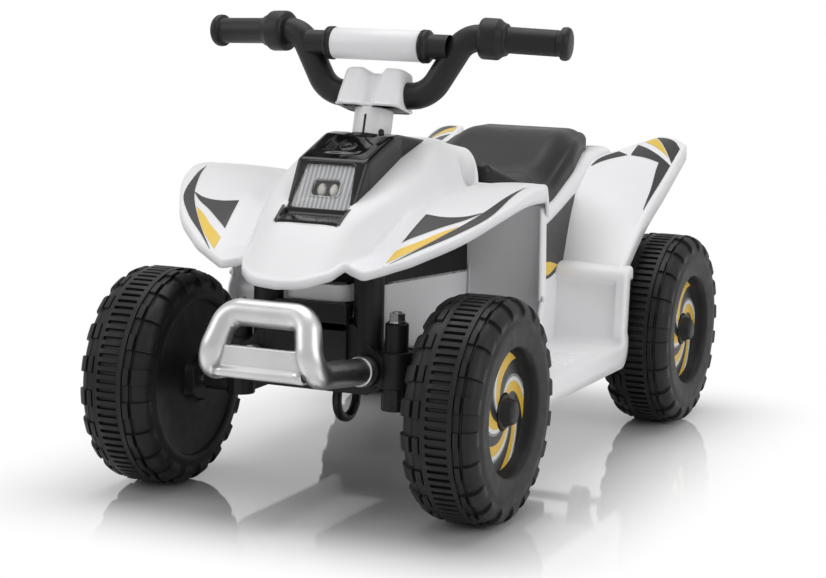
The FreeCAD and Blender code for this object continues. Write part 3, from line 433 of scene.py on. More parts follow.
def add_piece(name, shape, body, slot, stands_for, finish=None, turn=True, wall=None):
    """Make a piece from points in drawing millimetres and faces; turn recalculates which way they face."""
    points, faces = shape
    mesh = bpy.data.meshes.new(name)
    placed = (points + [0, DRAWING_SHIFT, 0]) * MM
    mesh.from_pydata(placed.tolist(), [], faces if isinstance(faces, list) else faces.tolist())
    work = bmesh.new()
    work.from_mesh(mesh)
    bmesh.ops.remove_doubles(work, verts=work.verts, dist=MERGE_DISTANCE)
    if turn:
        bmesh.ops.recalc_face_normals(work, faces=work.faces)
    work.to_mesh(mesh)
    work.free()
    mesh.shade_smooth()
    mesh.set_sharp_from_angle(angle=CREASE)
    mesh.materials.append(FINISH[finish or slot])
    obj = bpy.data.objects.new(name, mesh)
    bpy.context.scene.collection.objects.link(obj)
    if wall:
        solid = obj.modifiers.new("wall", "SOLIDIFY")
        solid.thickness = wall * MM
        solid.offset = -1
    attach(obj, body)
    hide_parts(stands_for)
    print(name, len(mesh.polygons), "faces")
    return obj


def add_pair(name, shape, *settings, **more):
    """Add a left piece and its mirror image on the right."""
    add_piece(name + "_left", shape, *settings, **more)
    add_piece(name + "_right", mirrored(shape), *settings, **more)


print("drawing moved by", round(DRAWING_SHIFT, 2), "mm")

# %% [markdown]
# ## Lines and blends
# A moulded piece is easy to describe by a few lines with rounded corners, and by heights that blend where
# they meet. Blender's curves could give the lines, but arrays of points can be used in formulas.

# %% Lines and blends
def smooth(value, low, high):
    """0 below low and 1 above high, with an even change between."""
    t = np.clip((np.asarray(value, float) - low) / (high - low), 0, 1)
    return t * t * (3 - 2 * t)


def soft_min(a, b, blend):
    """The lower of two heights, rounded where they cross."""
    apart = np.minimum(np.abs(a - b), blend)
    return np.minimum(a, b) - (blend - apart) ** 2 / (4 * blend)


def unit(vectors):
    """Vectors of the same direction, one long."""
    return vectors / np.linalg.norm(vectors, axis=-1, keepdims=True)


def left_of(line):
    """Unit vectors to the left of a flat line's run: its direction turned by a right angle."""
    run = unit(np.gradient(line, axis=0))
    return np.stack([-run[:, 1], run[:, 0]], axis=1)


def run_lengths(line):
    """Distance from the start to each point of a line."""
    return np.concatenate([[0], np.cumsum(np.linalg.norm(np.diff(line, axis=0), axis=1))])


def rounded(points, radii, step=7.0):
    """Replace each corner of a line by an arc of its radius, in steps of about step degrees."""
    points = np.asarray(points, float)
    line = [points[:1]]
    for before, corner, after, radius in zip(points, points[1:], points[2:], radii[1:-1]):
        back, ahead = unit(before - corner), unit(after - corner)
        half = math.acos(np.clip(back @ ahead, -1, 1)) / 2
        if radius == 0 or half > 1.56:
            line.append(corner[None])
            continue
        start = corner + back * radius / math.tan(half)
        centre = corner + unit(back + ahead) * radius / math.sin(half)
        sweep = math.pi - 2 * half
        angle = np.linspace(0, sweep, max(2, round(math.degrees(sweep) / step)) + 1)[:, None]
        line.append(centre + (start - centre) * np.cos(angle) - back * radius * np.sin(angle))
    return np.concatenate(line + [points[-1:]])


def along(line, count):
    """The same line through count points at even distances."""
    at = run_lengths(line)
    even = np.linspace(0, at[-1], count)
    return np.stack([np.interp(even, at, axis) for axis in line.T], axis=1)


def through(points, count):
    """A smooth curve through a few points: cubic pieces whose slopes come from the neighbours."""
    points = np.asarray(points, float)
    knots = run_lengths(points)
    slope = np.gradient(points, knots, axis=0)
    at = np.linspace(0, knots[-1], count)
    i = np.clip(np.searchsorted(knots, at) - 1, 0, len(points) - 2)
    step = (knots[i + 1] - knots[i])[:, None]
    t = (at - knots[i])[:, None] / step
    near = (1 + 2 * t) * points[i] + t * step * slope[i]
    far = (3 - 2 * t) * points[i + 1] + (t - 1) * step * slope[i + 1]
    return (1 - t) ** 2 * near + t ** 2 * far


print("a rounded corner has", len(rounded([(0, 0), (9, 0), (9, 9)], [0, 3, 0])), "points")

# %% [markdown]
# ## Tubes, turned pieces and rims
# A bent tube carries a circle along a line, a turned piece spins a profile as a lathe does, and a shell
# rolls over at its rim. Screw and bevel tools make the same forms, but these keep their points where they
# are wanted.

# %% Tubes, turned pieces and rims
RIM_STEPS = 6


def tube(line, radius, sides=40, reference=(0.5, 0.5, -0.7)):
    """A round bar: a circle of the radius carried along a line, with closed ends."""
    run = unit(np.gradient(line, axis=0))
    across = unit(np.cross(run, reference))
    up = np.cross(across, run)
    angle = np.linspace(0, 2 * np.pi, sides, endpoint=False)[None, :, None]
    ring = line[:, None] + radius * (across[:, None] * np.cos(angle) + up[:, None] * np.sin(angle))
    points, faces = patch(ring, ring_columns=True)
    ends = [np.arange(sides)[::-1].tolist(), (np.arange(sides) + (len(line) - 1) * sides).tolist()]
    return points, faces.tolist() + ends


def turned(profile, base, axis, sides=64, lobes=0, depth=0.0):
    """Spin a profile of (distance, radius) about an axis; lobes let the radius wave by a share of depth."""
    distance, radius = np.asarray(profile, float).T
    axis = unit(np.asarray(axis, float))
    side = unit(np.cross(axis, (0.2, 0.9, 0.4)))
    angle = np.linspace(0, 2 * np.pi, sides, endpoint=False)[:, None]
    wave = 1 - depth * (0.5 - 0.5 * np.cos(lobes * angle))
    spin = side * np.cos(angle) + np.cross(axis, side) * np.sin(angle)
    ring = np.asarray(base) + distance[None, :, None] * axis + (radius * wave)[..., None] * spin[:, None]
    return patch(ring, ring_rows=True)


def rolled_rim(ring, radius, depth):
    """A rim round a closed ring of points: it rolls outwards by a quarter circle, then drops by depth."""
    run = unit(np.roll(ring, -1, axis=0) - np.roll(ring, 1, axis=0))
    out = unit(np.cross(run, (0, 0, 1)) * [1, 1, 0])
    turn = np.linspace(0, np.pi / 2, RIM_STEPS)[:, None]
    across = radius * np.concatenate([np.sin(turn), [[1.0]]])
    rolled = np.broadcast_to(radius * (1 - np.cos(turn)), (RIM_STEPS, len(ring)))
    down = np.concatenate([rolled, [radius + np.broadcast_to(depth, len(ring))]])
    rows = ring + out * across[..., None] - down[..., None] * np.array([0, 0, 1.0])
    return patch(rows[::-1], ring_columns=True)


print("a turned ring of 64 sides has", len(turned([(0, 5), (3, 5)], (0, 0, 0), (0, 0, 1))[1]), "faces")

# %% [markdown]
# ## Tread
# Toy wheels of this size are blow moulded in one hollow shot, so tread and sidewall are one skin. The
# tread has a ladder of fine slats, a rail on each side, a row of blocks and a row of lugs that run over
# the shoulder. An array of separate blocks would have to be welded on. Here three height tables say how
# far each station of the section stands out: always, on a slat, and on a lug.

# %% Tread
TREAD_DEPTH = 2.6
LADDER_HALF = 9.6
TREAD_STATIONS = np.array([0, 5, LADDER_HALF, 10.2, 12.8, 14.8, 15.3, 15.8, 16.4, 18, 20, 21.2, 21.7, 22.2,
                           23.2, 23.7, 24.3, 26, 28, 30, 32, 34, 36, 38, 40, 42, 44, 45.5])
SHOULDER_CURVE = np.array([(17, 97.3), (30, 96.5), (34.3, 90.5), (34.3, 81)])
CROWN = (0, 97.4)


def tread_section():
    """Half the carcass at the stations: a flat crown, then a cubic curve over the shoulder; with normals."""
    t = np.linspace(0, 1, 200)[:, None]
    a, b, c, d = SHOULDER_CURVE
    shoulder = (1 - t) ** 3 * a + 3 * t * (1 - t) ** 2 * b + 3 * t ** 2 * (1 - t) * c + t ** 3 * d
    line = np.concatenate([[CROWN], shoulder])
    lengths = run_lengths(line)
    at = TREAD_STATIONS * lengths[-1] / TREAD_STATIONS[-1]
    section = np.stack([np.interp(at, lengths, axis) for axis in line.T], axis=1)
    return section, left_of(section)


def tread_heights():
    """Heights at the stations: always, on a slat, on a lug."""
    a, full = TREAD_STATIONS, TREAD_DEPTH
    always = np.interp(a, [LADDER_HALF, 10.2, 14.8, 15.3, 15.8, 16.4, 21.2, 21.7, 23.2, 24.3, 38, 44],
                       [0, 0.9 * full, 0.9 * full, 0.4, 0.4, 0.4, 0.4, -1.4, -1.4, -0.6, -0.6, 0])
    slat = full * (a <= LADDER_HALF)
    lug = np.interp(a, [15.8, 16.4, 21.2, 21.7, 23.5, 24.3, 38, 44],
                    [0, full - 0.4, full - 0.4, 0, 0, full + 0.3, full - 0.2, 0])
    return always, slat, lug


print(len(TREAD_STATIONS), "stations from the middle of the tread to the sidewall")

# %% [markdown]
# ## Tyre
# The skin is one grid: round the wheel, and round its section. A Screw modifier would spin one section,
# but here the section changes with the angle, so every angle gets its own. The outer face has a deep
# recess for the trim, and the inner one has a lobed hub round the axle. The lugs of one side are turned
# by one slat from those of the other, as on the real tread.

# %% Tyre
SLATS, SLATS_PER_LUG = 80, 4
SLAT_SHARES = np.array([0, 0.07, 0.2, 0.33, 0.46, 0.60, 0.67, 0.76, 0.84, 0.92])
LADDER_OFFSET = 2.2
AXLE_RADIUS, HUB_LOBES = 5.05, 5
FACE = np.array([(19, AXLE_RADIUS), (19, 17), (19, 52.2), (19.4, 53), (22, 54.6), (27, 56), (32.2, 57.2),
                 (33.2, 58.2), (33.6, 60), (34.2, 64), (34.7, 69), (35.1, 73), (35.3, 76), (34.9, 79)])
BACK = np.array([(-34.9, 79), (-35.5, 76.5), (-35.3, 73.5), (-34.5, 71.8), (-32.5, 70.8), (-32, 69.6),
                 (-32, 48), (-32, 25), (-32.4, 23.4), (-33.5, 22.8), (-40.2, 22), (-41, 21), (-41, 12),
                 (-41, AXLE_RADIUS)])


def tyre_shape():
    """Tyre on the X axis, outer face towards +X: its section goes round a closed loop at every angle."""
    share = (np.arange(SLATS)[:, None] + SLAT_SHARES).ravel()
    angle = 2 * np.pi * share[:, None] / SLATS
    on_slat = np.tile((SLAT_SHARES > 0.01) & (SLAT_SHARES < 0.65), SLATS)[:, None]
    step = share % SLATS_PER_LUG
    on_lug = (step > 0.01) & (step < 1.95)
    section, normal = tread_section()
    always, slat, lug = tread_heights()
    halves = []
    for lugs, side in ((on_lug, 1), (np.roll(on_lug, len(SLAT_SHARES)), -1)):
        height = always + slat * on_slat + lug * lugs[:, None]
        half = (section + height[..., None] * normal) * [side, 1]
        half[..., 0] += LADDER_OFFSET * np.maximum(1 - (half[..., 0] / 34) ** 2, 0)
        halves.append(half)
    hub = np.interp(BACK[:, 1], [22.9, 23.6], [0.09, 0]) * (BACK[:, 1] > 15)
    lobes = 1 - hub * (1 - np.cos(HUB_LOBES * angle))
    back = BACK * np.stack([np.ones_like(lobes), lobes], axis=-1)
    face = np.broadcast_to(FACE, (len(angle), *FACE.shape))
    x, r = np.moveaxis(np.concatenate([face, halves[0][:, ::-1], halves[1][:, 1:], back], axis=1), -1, 0)
    rings = np.stack([x, r * np.cos(angle), r * np.sin(angle)], axis=-1)
    return patch(rings, ring_rows=True, ring_columns=True)


tyre = tyre_shape()
print("tyre skin of", len(tyre[1]), "faces")

# %% [markdown]
# ## Four wheels
# Each wheel has a printed trim disc and a black hub cap in its recess. Both are turned profiles, and the
# disc gets a flat map of its own, which its print reads. Four linked copies could share one mesh, but a
# piece keeps its points at its own place in the frame. So the tyre is worked out once and moved to four
# places, and each wheel rides on its own body and can spin.

# %% Four wheels
WHEEL_RADIUS = 100.0
FRONT_AXLE_Y, FRONT_WHEEL_X, REAR_WHEEL_X = -243.7, 157.3, 163.2
X_AXIS = (1, 0, 0)
MAP_SIZE = 0.1
TRIM_PROFILE = [(19.2, 17), (19.2, 52.3), (20.6, 52.6), (21.4, 51.8), (21.3, 50), (21.5, 46), (22.6, 31),
                (23.5, 19), (23.5, 17), (19.2, 17)]
CAP_PROFILE = [(19.2, 6.5), (19.2, 16.2), (24.2, 16.4), (25.2, 15.6), (25.6, 14), (25.7, 13.2), (26.4, 12.8),
               (32, 11), (33.4, 10.5), (34.2, 9.3), (34.3, 0.01)]


def lay_flat(obj, centre):
    """Give a disc its own flat map: the places across the wheel over MAP_SIZE, with the hub at 0.5."""
    mesh = obj.data
    corner, points = np.empty(len(mesh.loops), int), np.empty(3 * len(mesh.vertices))
    mesh.loops.foreach_get("vertex_index", corner)
    mesh.vertices.foreach_get("co", points)
    hub = np.array([centre[1] + DRAWING_SHIFT, centre[2]]) * MM
    flat = (points.reshape(-1, 3)[corner, 1:] - hub) / MAP_SIZE + 0.5
    mesh.uv_layers.new(name="disc").data.foreach_set("uv", flat.ravel())


for end, x, y in (("front", FRONT_WHEEL_X, FRONT_AXLE_Y), ("rear", REAR_WHEEL_X, REAR_AXLE_Y)):
    centre = np.array([x, y, WHEEL_RADIUS])
    skin = tyre[0] + centre, tyre[1]
    trim = turned(TRIM_PROFILE, centre, X_AXIS, 120)
    cap = turned(CAP_PROFILE, centre, X_AXIS, 96, 8, 0.05)
    for side, flip in (("left", lambda shape: shape), ("right", mirrored)):
        corner = end + "_" + side
        body = "wheel_" + corner
        add_piece("tyre_skin_" + corner, flip(skin), body, "wheel_black", "tyre_" + corner)
        disc = add_piece("trim_disc_" + corner, flip(trim), body, "wheel_trim", "wheel_trim_" + corner)
        lay_flat(disc, centre)
        add_piece("cap_" + corner, flip(cap), body, "black_plastic", "hub_cap_" + corner)

# %% [markdown]
# ## Heights of the cowl
# Hood and front fenders are one thin moulding. Sculpting would give such a shape too, but other pieces
# have to meet it: stickers lie on it and posts end under it. So its height is a formula of x and y, with
# fenders that slope down to the front and rise outwards, and the hood standing up between them.

# %% Heights of the cowl
CREST_Y, CREST_Z = -134.0, 291.0
FENDER_X = 165
VALLEY_BLEND = 9.0
HOOD_HALF = [(-340, 44), (-302, 48), (-283, 52), (-258, 59), (-231, 66), (-197, 74), (-160, 81), (-110, 82),
             (-60, 60), (30, 46)]
hood_edge = through(HOOD_HALF, 200)


def fender_height(x, y):
    """Sloped front that meets a deck rising outwards; it dips beside the hood and falls behind its crest."""
    inward = np.minimum((FENDER_X - np.minimum(np.abs(x), FENDER_X)) / 105, 1.1)
    ahead = np.maximum(CREST_Y - y, 0)
    slope = CREST_Z - 0.852 * ahead ** 2 / (ahead + 152)
    deck = CREST_Z - 19 * inward ** 1.3
    behind = np.clip(y - (-141 + 65 * inward), 0, 60)
    dip = 9 * (1 - smooth(np.abs(x), 60, 94)) * smooth(y, -294, -262) * (1 - smooth(y, -200, -150))
    return soft_min(slope, deck, 12) - 0.0142 * behind ** 2 - dip


def hood_line(y):
    """Height of the hood's middle: a steep front, an easy slope beside the lamp, then the tank."""
    front = soft_min(212.6 + 0.83 * (y + 324), 260.5 + 0.375 * (y + 270), 14)
    return soft_min(front, 324 - 0.155 * (y + 120), 10)


def cowl_height(x, y):
    """Fenders and, as a power curve across, the hood; the higher one counts, with a rounded valley."""
    x, y = np.broadcast_arrays(np.asarray(x, float), np.asarray(y, float))
    half = np.interp(y, *hood_edge.T)
    valley = fender_height(half, y)
    power = 4 + 4 * smooth(y, -300, -230)
    hood = valley + (hood_line(y) - valley) * (1 - (np.abs(x) / half) ** power)
    return -soft_min(-hood, -fender_height(x, y), VALLEY_BLEND)


print("the hood is", round(float(hood_line(-300.0))), "mm high in front and", round(float(hood_line(-90.0))),
      "mm at the tank")

# %% [markdown]
# ## Front cowl
# The cowl's sheet is cut to its plan outline, with room for the lamp. A boolean could cut it, but rows of
# points that start and end on the outline leave a clean edge. The rim rolls over into a short skirt,
# which gives the thin sheet its stiffness and its bright edge.

# %% Front cowl
COWL_RIM = 3.0
COWL_HALF = [(0, -328), (26, -326), (43, -309), (51, -291), (59, -294), (69, -298), (104, -279), (142, -247),
             (169, -197), (179, -152), (162, -97), (64, -44), (51, -12), (44, 22), (0, 24)]
COWL_BENDS = [0, 34, 20, 5, 6, 6, 60, 120, 120, 22, 14, 16, 30, 14, 0]
LAMP_HALF, LAMP_FRONT_Y, LAMP_REAR_Y = 30.5, -270, -117


def cowl_shape():
    """Rows run from the front edge to the rear edge of the plan outline, columns go across; then the rim."""
    edge = along(rounded(COWL_HALF, COWL_BENDS, 3), 900)
    edge = edge + COWL_RIM * left_of(edge)
    widest = np.argmax(edge[:, 0])
    front, rear = along(edge[:widest + 1], 110), edge[widest:][::-1]
    x = np.concatenate([-front[:0:-1, 0], front[:, 0]])
    front_y = np.concatenate([front[:0:-1, 1], front[:, 1]])
    rear_y = np.interp(np.abs(x), rear[:, 0], rear[:, 1])
    y = front_y + (rear_y - front_y) * np.linspace(0, 1, 130)[:, None]
    x = np.broadcast_to(x, y.shape)
    top = np.stack([x, y, cowl_height(x, y)], axis=-1)
    points, faces = patch(top)
    middle_x, middle_y, _ = points[faces].mean(axis=1).T
    lamp = (np.abs(middle_x) < LAMP_HALF) & (middle_y > LAMP_FRONT_Y) & (middle_y < LAMP_REAR_Y)
    ring = np.concatenate([top[0], top[-1, -2:0:-1]])
    tail = smooth(ring[:, 1], -45, -20) * (np.abs(ring[:, 0]) < 70)
    flare = smooth(ring[:, 1], -200, -140) * (np.abs(ring[:, 0]) > 120)
    return joined((points, faces[~lamp]), rolled_rim(ring, COWL_RIM, 5.5 + 26 * tail + 6 * flare))


add_piece("cowl_shell", cowl_shape(), "chassis", "body_white", "front_cowl", turn=False, wall=SHELL_WALL)

# %% [markdown]
# ## Footwells
# Leg shield, floor and rear wall are one bent sheet. Its line in the side view has a toe ledge half way
# down the shield. Across the bike the sheet runs out to an edge that rolls over into a flange, which
# becomes the skirt under the floor. Ribs on the floor and the raised rim of the rear wall push the sheet
# out along its normal, so no piece has to be joined on.

# %% Footwells
FLOOR_Z, FOOTREST_X, WELL_REAR_Y, SHIELD_Y, FLANK_X = 97.0, 162.5, 139.0, -97.0, 85.0
WELL_INNER_X, WELL_ROLL, WELL_RIM = 60, 4.0, 7
RIB_PITCH, RIB_HEIGHT = 22, 1.4
WELL_LINE = [(SHIELD_Y, 264), (-93, 174), (-103, 162), (-97, FLOOR_Z), (WELL_REAR_Y - 5, FLOOR_Z),
             (WELL_REAR_Y, 170), (WELL_REAR_Y + 13, 171)]
WELL_BENDS = [0, 8, 8, 20, 10, 7, 0]


def footwell_shape():
    """Rows follow the side line, columns go out across it and over the rolled edge."""
    line = along(rounded(WELL_LINE, WELL_BENDS, 4), 400)
    normal = left_of(line)
    y, z = line[:, :1], line[:, 1:]
    on_shield = 1 - smooth(y, -100, -80)
    edge = FOOTREST_X - 2 * on_shield * smooth(z, 158, 178)
    x = WELL_INNER_X + (edge - WELL_ROLL - WELL_INNER_X) * np.linspace(0, 1, 110)
    on_wall = smooth(y, 120, 132) * smooth(z, 99, 112)
    rim = np.maximum(smooth(z, 158, 164), smooth(x, edge - 15, edge - 10))
    phase = (y + 38) % RIB_PITCH
    ribs = smooth(phase, 0, 1.6) * (1 - smooth(phase, 3.6, 5.2)) * (y > -39) * (y < 94)
    ribs = ribs * smooth(x, 103, 105) * (1 - smooth(x, 144, 146)) * (z < 103)
    push = WELL_RIM * rim * on_wall + RIB_HEIGHT * ribs
    turn = np.linspace(0, np.pi / 2, 7)[1:]
    fold_x = edge - WELL_ROLL + WELL_ROLL * np.sin(turn)
    fold = push[:, -1:] - WELL_ROLL * (1 - np.cos(turn))
    depth = 9 + 9 * smooth(y, -104, -84) * (1 - smooth(y, 126, 136))
    skirt = fold[:, -1:] - depth * np.array([0.5, 1.0])
    all_x = np.concatenate([x, fold_x, np.broadcast_to(edge, (len(line), 2))], axis=1)
    out = np.concatenate([push, fold, skirt], axis=1)
    return patch(np.stack([all_x, y + out * normal[:, :1], z + out * normal[:, 1:]], axis=-1))


add_pair("footwell", footwell_shape(), "chassis", "body_white", "main_body", turn=False, wall=SHELL_WALL)

# %% [markdown]
# ## Seat tub
# The tub holds the battery and the saddle. It is a belt: a plan line round the bike's flanks and tail,
# raised from its lower edge to the saddle line and rolled inwards there. A box with bevelled edges could
# not follow the sway of the saddle line so evenly.

# %% Seat tub
SADDLE_LINE = [(-97, 246), (-42, 246), (-27, 274), (112, 233), (246, 283), (318, 285)]
SADDLE_BENDS = [0, 6, 6, 110, 60, 0]
TUB_REAR_Y, TUB_CORNER = 318.0, 26
SHOULDER, SHOULDER_REACH = 9.0, 28.0


def saddle_height(y):
    """Height of the tub's upper edge: the rounded saddle line, read at y."""
    return np.interp(y, *rounded(SADDLE_LINE, SADDLE_BENDS, 3).T)


def tub_shape():
    """Rows climb from the lower edge to the rolled shoulder, columns follow the plan line round the tail."""
    corners = [(FLANK_X, SHIELD_Y), (FLANK_X, TUB_REAR_Y), (-FLANK_X, TUB_REAR_Y), (-FLANK_X, SHIELD_Y)]
    plan = along(rounded(corners, [0, TUB_CORNER, TUB_CORNER, 0], 5), 520)
    inward = left_of(plan)
    top = saddle_height(plan[:, 1])
    low = np.interp(plan[:, 1], [148, 160, 276, TUB_REAR_Y], [93, 128, 128, 186])
    climb = np.linspace(0, 1, 40)[:, None]
    turn = np.linspace(0, np.pi / 2, 9)[1:, None]
    wall_z = low + (top - SHOULDER - low) * climb
    z = np.concatenate([wall_z, top - SHOULDER + SHOULDER * np.sin(turn), top[None]])
    shift = np.concatenate([0 * climb, SHOULDER * (1 - np.cos(turn)), [[SHOULDER_REACH]]])
    belt = np.concatenate([plan[None] + shift[..., None] * inward[None], z[..., None]], axis=-1)
    half = len(plan) // 2
    under = np.stack([belt[0, :half], belt[0, ::-1][:half]])
    return joined(patch(belt), patch(under))


add_piece("seat_tub", tub_shape(), "chassis", "body_white", "main_body", turn=False, wall=SHELL_WALL)

# %% [markdown]
# ## Nose and axle bearers
# The nose is the part of the body that shows between the front posts, and it is a smaller belt. Under the
# tub two plates bear the rear axle. An extruded curve would make them. Here a plate is a prism, one
# outline at two places joined all round, and the front frame uses it again.

# %% Nose and axle bearers
NOSE_TOP = 199
NOSE_HALF = [(82, SHIELD_Y), (52, -218), (32, -222), (32, -252), (0, -252)]
NOSE_BENDS = [0, 10, 6, 14, 0, 14, 6, 10, 0]
BEARER = rounded([(226, 140), (237.7, 92), (251.7, 84), (265.7, 92), (276, 140)], [0, 8, 12, 8, 0])
BEARER_WIDTH = 14


def nose_shape():
    """A belt round the fore-body, lower at the back, with a rounded front."""
    outline = [(-x, y) for x, y in NOSE_HALF] + NOSE_HALF[-2::-1]
    plan = along(rounded(outline, NOSE_BENDS, 5), 260)
    low = np.interp(plan[:, 1], [-252, -224, -217, SHIELD_Y], [184, 184, 146, 112])
    z = low + (NOSE_TOP - low) * np.linspace(0, 1, 16)[:, None]
    flat = np.broadcast_to(plan, (len(z), *plan.shape))
    return patch(np.concatenate([flat, z[..., None]], axis=-1))


def prism(outline, start, end):
    """A plate with an outline of (y, z) corners between two places across the bike."""
    outline = np.asarray(outline, float)
    rows = np.stack([np.column_stack([np.full(len(outline), x), outline]) for x in (start, end)])
    points, faces = patch(rows, ring_columns=True)
    count = len(outline)
    return points, faces.tolist() + [list(range(count))[::-1], list(range(count, 2 * count))]


add_piece("nose_wall", nose_shape(), "chassis", "body_white", "main_body", turn=False, wall=SHELL_WALL)
for side, x in (("left", 70), ("right", -84)):
    add_piece("axle_bearer_" + side, prism(BEARER, x, x + BEARER_WIDTH), "chassis", "body_white", "main_body")

# %% [markdown]
# ## Front frame
# The black frame carries the front axle: a web with a box in its middle, the barrels of the two kingpins,
# sockets for the bumper, and two posts that hold the cowl up. The posts end on the cowl's underside.
# Cutting them off with a boolean would leave ragged tops, so their tops follow the cowl's formula.

# %% Front frame
KINGPIN_X, POST_X, POST_RADIUS, POST_FOOT = 77.6, 50.0, 13.5, 110.0
POST_SIDES, COWL_GAP, PLATE_BEND = 48, 4, 2.5
BARREL_FOOT = 111
BARREL = [(0, 4.4), (0, 14), (1, 15), (32, 15), (33, 14), (33, 10.7), (34, 10.5), (57, 10.5), (58, 9.5),
          (58, 4.4)]
SOCKET = [(-0.4, 10), (-0.4, 13.5), (13, 13.5), (14, 12.5), (14, 0.01)]
BUMPER_END = np.array([55, -253, 125.5])
PLATES = {
    "web": ([(0, 104), (56, 104), (62, 112), (70, 112), (70, 140), (62, 144), (42, 166), (0, 166)], -13, 13),
    "box": ([(0, 112), (36, 112), (36, 166), (0, 166)], -17, 22),
    "lip": ([(0, 160), (36, 160), (36, 183.5), (0, 183.5)], -17, -9),
}


def post_shape(x):
    """A round post: rings of points at its foot and under the cowl, closed in the middle of its top."""
    angle = np.linspace(0, 2 * np.pi, POST_SIDES, endpoint=False)
    ring_x, ring_y = x + POST_RADIUS * np.cos(angle), FRONT_AXLE_Y + POST_RADIUS * np.sin(angle)
    top = cowl_height(ring_x, ring_y) - COWL_GAP
    level = np.ones(POST_SIDES)
    rings = [[ring_x, ring_y, POST_FOOT * level], [ring_x, ring_y, top],
             [x * level, FRONT_AXLE_Y * level, top.mean() * level]]
    return patch(np.stack([np.stack(ring, axis=-1) for ring in rings]), ring_columns=True)


def across_front(half, start, end):
    """A plate with a symmetric outline of (x, z) corners between two places along the bike."""
    corners = half + [(-x, z) for x, z in half[-2:0:-1]] + half[:1]
    outline = rounded(corners, [0] + [PLATE_BEND] * (len(corners) - 2) + [0])
    points, faces = prism(outline[:-1], start, end)
    return points[:, [1, 0, 2]], faces


frame_pieces = {name: across_front(half, FRONT_AXLE_Y + start, FRONT_AXLE_Y + end)
                for name, (half, start, end) in PLATES.items()}
for side, sign in (("left", 1), ("right", -1)):
    frame_pieces["post_" + side] = post_shape(sign * POST_X)
    frame_pieces["barrel_" + side] = turned(BARREL, (sign * KINGPIN_X, FRONT_AXLE_Y, BARREL_FOOT), (0, 0, 1))
    frame_pieces["socket_" + side] = turned(SOCKET, BUMPER_END * [sign, 1, 1], (sign * 0.5, 14, -1.5))
for name, shape in frame_pieces.items():
    add_piece("frame_" + name, shape, "chassis", "black_plastic", "front_frame")

# %% [markdown]
# ## Rear fenders
# A rear fender rises from the flank and twists outwards over the wheel. A plane could be bent by a
# modifier, but then only one of its edges would lie where it should. So it is a ruled sheet: straight
# lines join a curve on the flank to the curve of its outer edge. Its rim rolls over like the cowl's.

# %% Rear fenders
FENDER_INNER = [(84, 150, 170), (84, 186, 243), (84, 231, 272), (106, 300, 287), (119, 355, 294)]
FENDER_OUTER = [(151, 141, 177), (153, 206, 225), (152, 270, 253), (149, 352, 288)]
FENDER_BULGE = np.array([1.5, 0, 3.0])
FENDER_RIM, FENDER_SKIRT = 4.0, 13.0


def fender_sheet(u, v):
    """Left rear fender: u runs back along it and v out across it, from 0 to 1, with a slight bulge."""
    share = np.linspace(0, 1, 200)
    inner, outer = through(FENDER_INNER, 200), through(FENDER_OUTER, 200)
    near = np.stack([np.interp(u, share, axis) for axis in inner.T], axis=-1)
    far = np.stack([np.interp(u, share, axis) for axis in outer.T], axis=-1)
    bulge = FENDER_BULGE * (4 * v * (1 - v) * smooth(u, 0.0, 0.35))[..., None]
    return near + (far - near) * v[..., None] + bulge


def rear_fender_shape():
    """The sheet over the whole of u and v, and a rolled rim round it."""
    u, v = np.meshgrid(np.linspace(0, 1, 120), np.linspace(0, 1, 50), indexing="ij")
    grid = fender_sheet(u, v)
    ring = np.concatenate([grid[0], grid[1:, -1], grid[-1, -2::-1], grid[-2:0:-1, 0]])
    return joined(patch(grid), rolled_rim(ring, FENDER_RIM, FENDER_SKIRT))


rear_fender = rear_fender_shape()
add_pair("rear_fender", rear_fender, "chassis", "body_white", "main_body", turn=False, wall=SHELL_WALL)

# %% [markdown]
# ## Saddle
# The saddle is a hard moulding, not a cushion: a dished pan, sides that fall away and a high tail. A
# subdivided cage would give soft forms too, but this edge has to end on the saddle line of the tub. So it
# is a height surface like the cowl, and its edge rolls over with a large radius and goes down to that
# line.

# %% Saddle
SEAT_ROLL = 9.0
SEAT_HALF = [(0, 25), (50, 22), (62, 58), (79, 110), (77, 200), (66, 270), (46, 305), (0, 310)]
SEAT_BENDS = [0, 11, 60, 60, 120, 60, 30, 0]
PAN_Z, TAIL_RISE = 268, 38


def seat_height(x, y):
    """A pan that rises to the front, a tail that rises behind, and sides that fall away."""
    pan = PAN_Z + 0.0042 * np.maximum(95 - y, 0) ** 2
    tail = TAIL_RISE * smooth(y, 120, 232) - 0.016 * np.maximum(y - 262, 0) ** 2
    across = np.abs(x) / 80
    dish = 7 * across ** 2 * (1 - smooth(y, 150, 240))
    return pan + tail + dish - 150 * np.maximum(across - 0.55, 0) ** 2


def seat_shape():
    """Rows across the saddle at stations of its half outline; then a rolled rim down to the tub."""
    edge = along(rounded(SEAT_HALF, SEAT_BENDS, 3), 300)
    edge = edge + SEAT_ROLL * left_of(edge)
    edge[:, 0] = np.maximum(edge[:, 0], 0)
    x = edge[:, :1] * np.linspace(-1, 1, 90)
    y = np.broadcast_to(edge[:, 1:], x.shape)
    grid = np.stack([x, y, seat_height(x, y)], axis=-1)
    ring = np.concatenate([grid[:, -1], grid[-2:0:-1, 0]])
    depth = np.maximum(ring[:, 2] - SEAT_ROLL - saddle_height(ring[:, 1]) + 1, 1)
    return joined(patch(grid), rolled_rim(ring, SEAT_ROLL, depth))


add_piece("saddle", seat_shape(), "chassis", "seat_black", "seat", turn=False)

# %% [markdown]
# ## Handlebar and grips
# The bar is one bent tube, and each grip is a sleeve with a thick collar at the bend and a rounded flange
# at its end. A curve with a round bevel would draw the bar and would then have to be turned into a mesh.
# Here a circle is carried along its line at once, and a lathe profile gives each grip in one go.

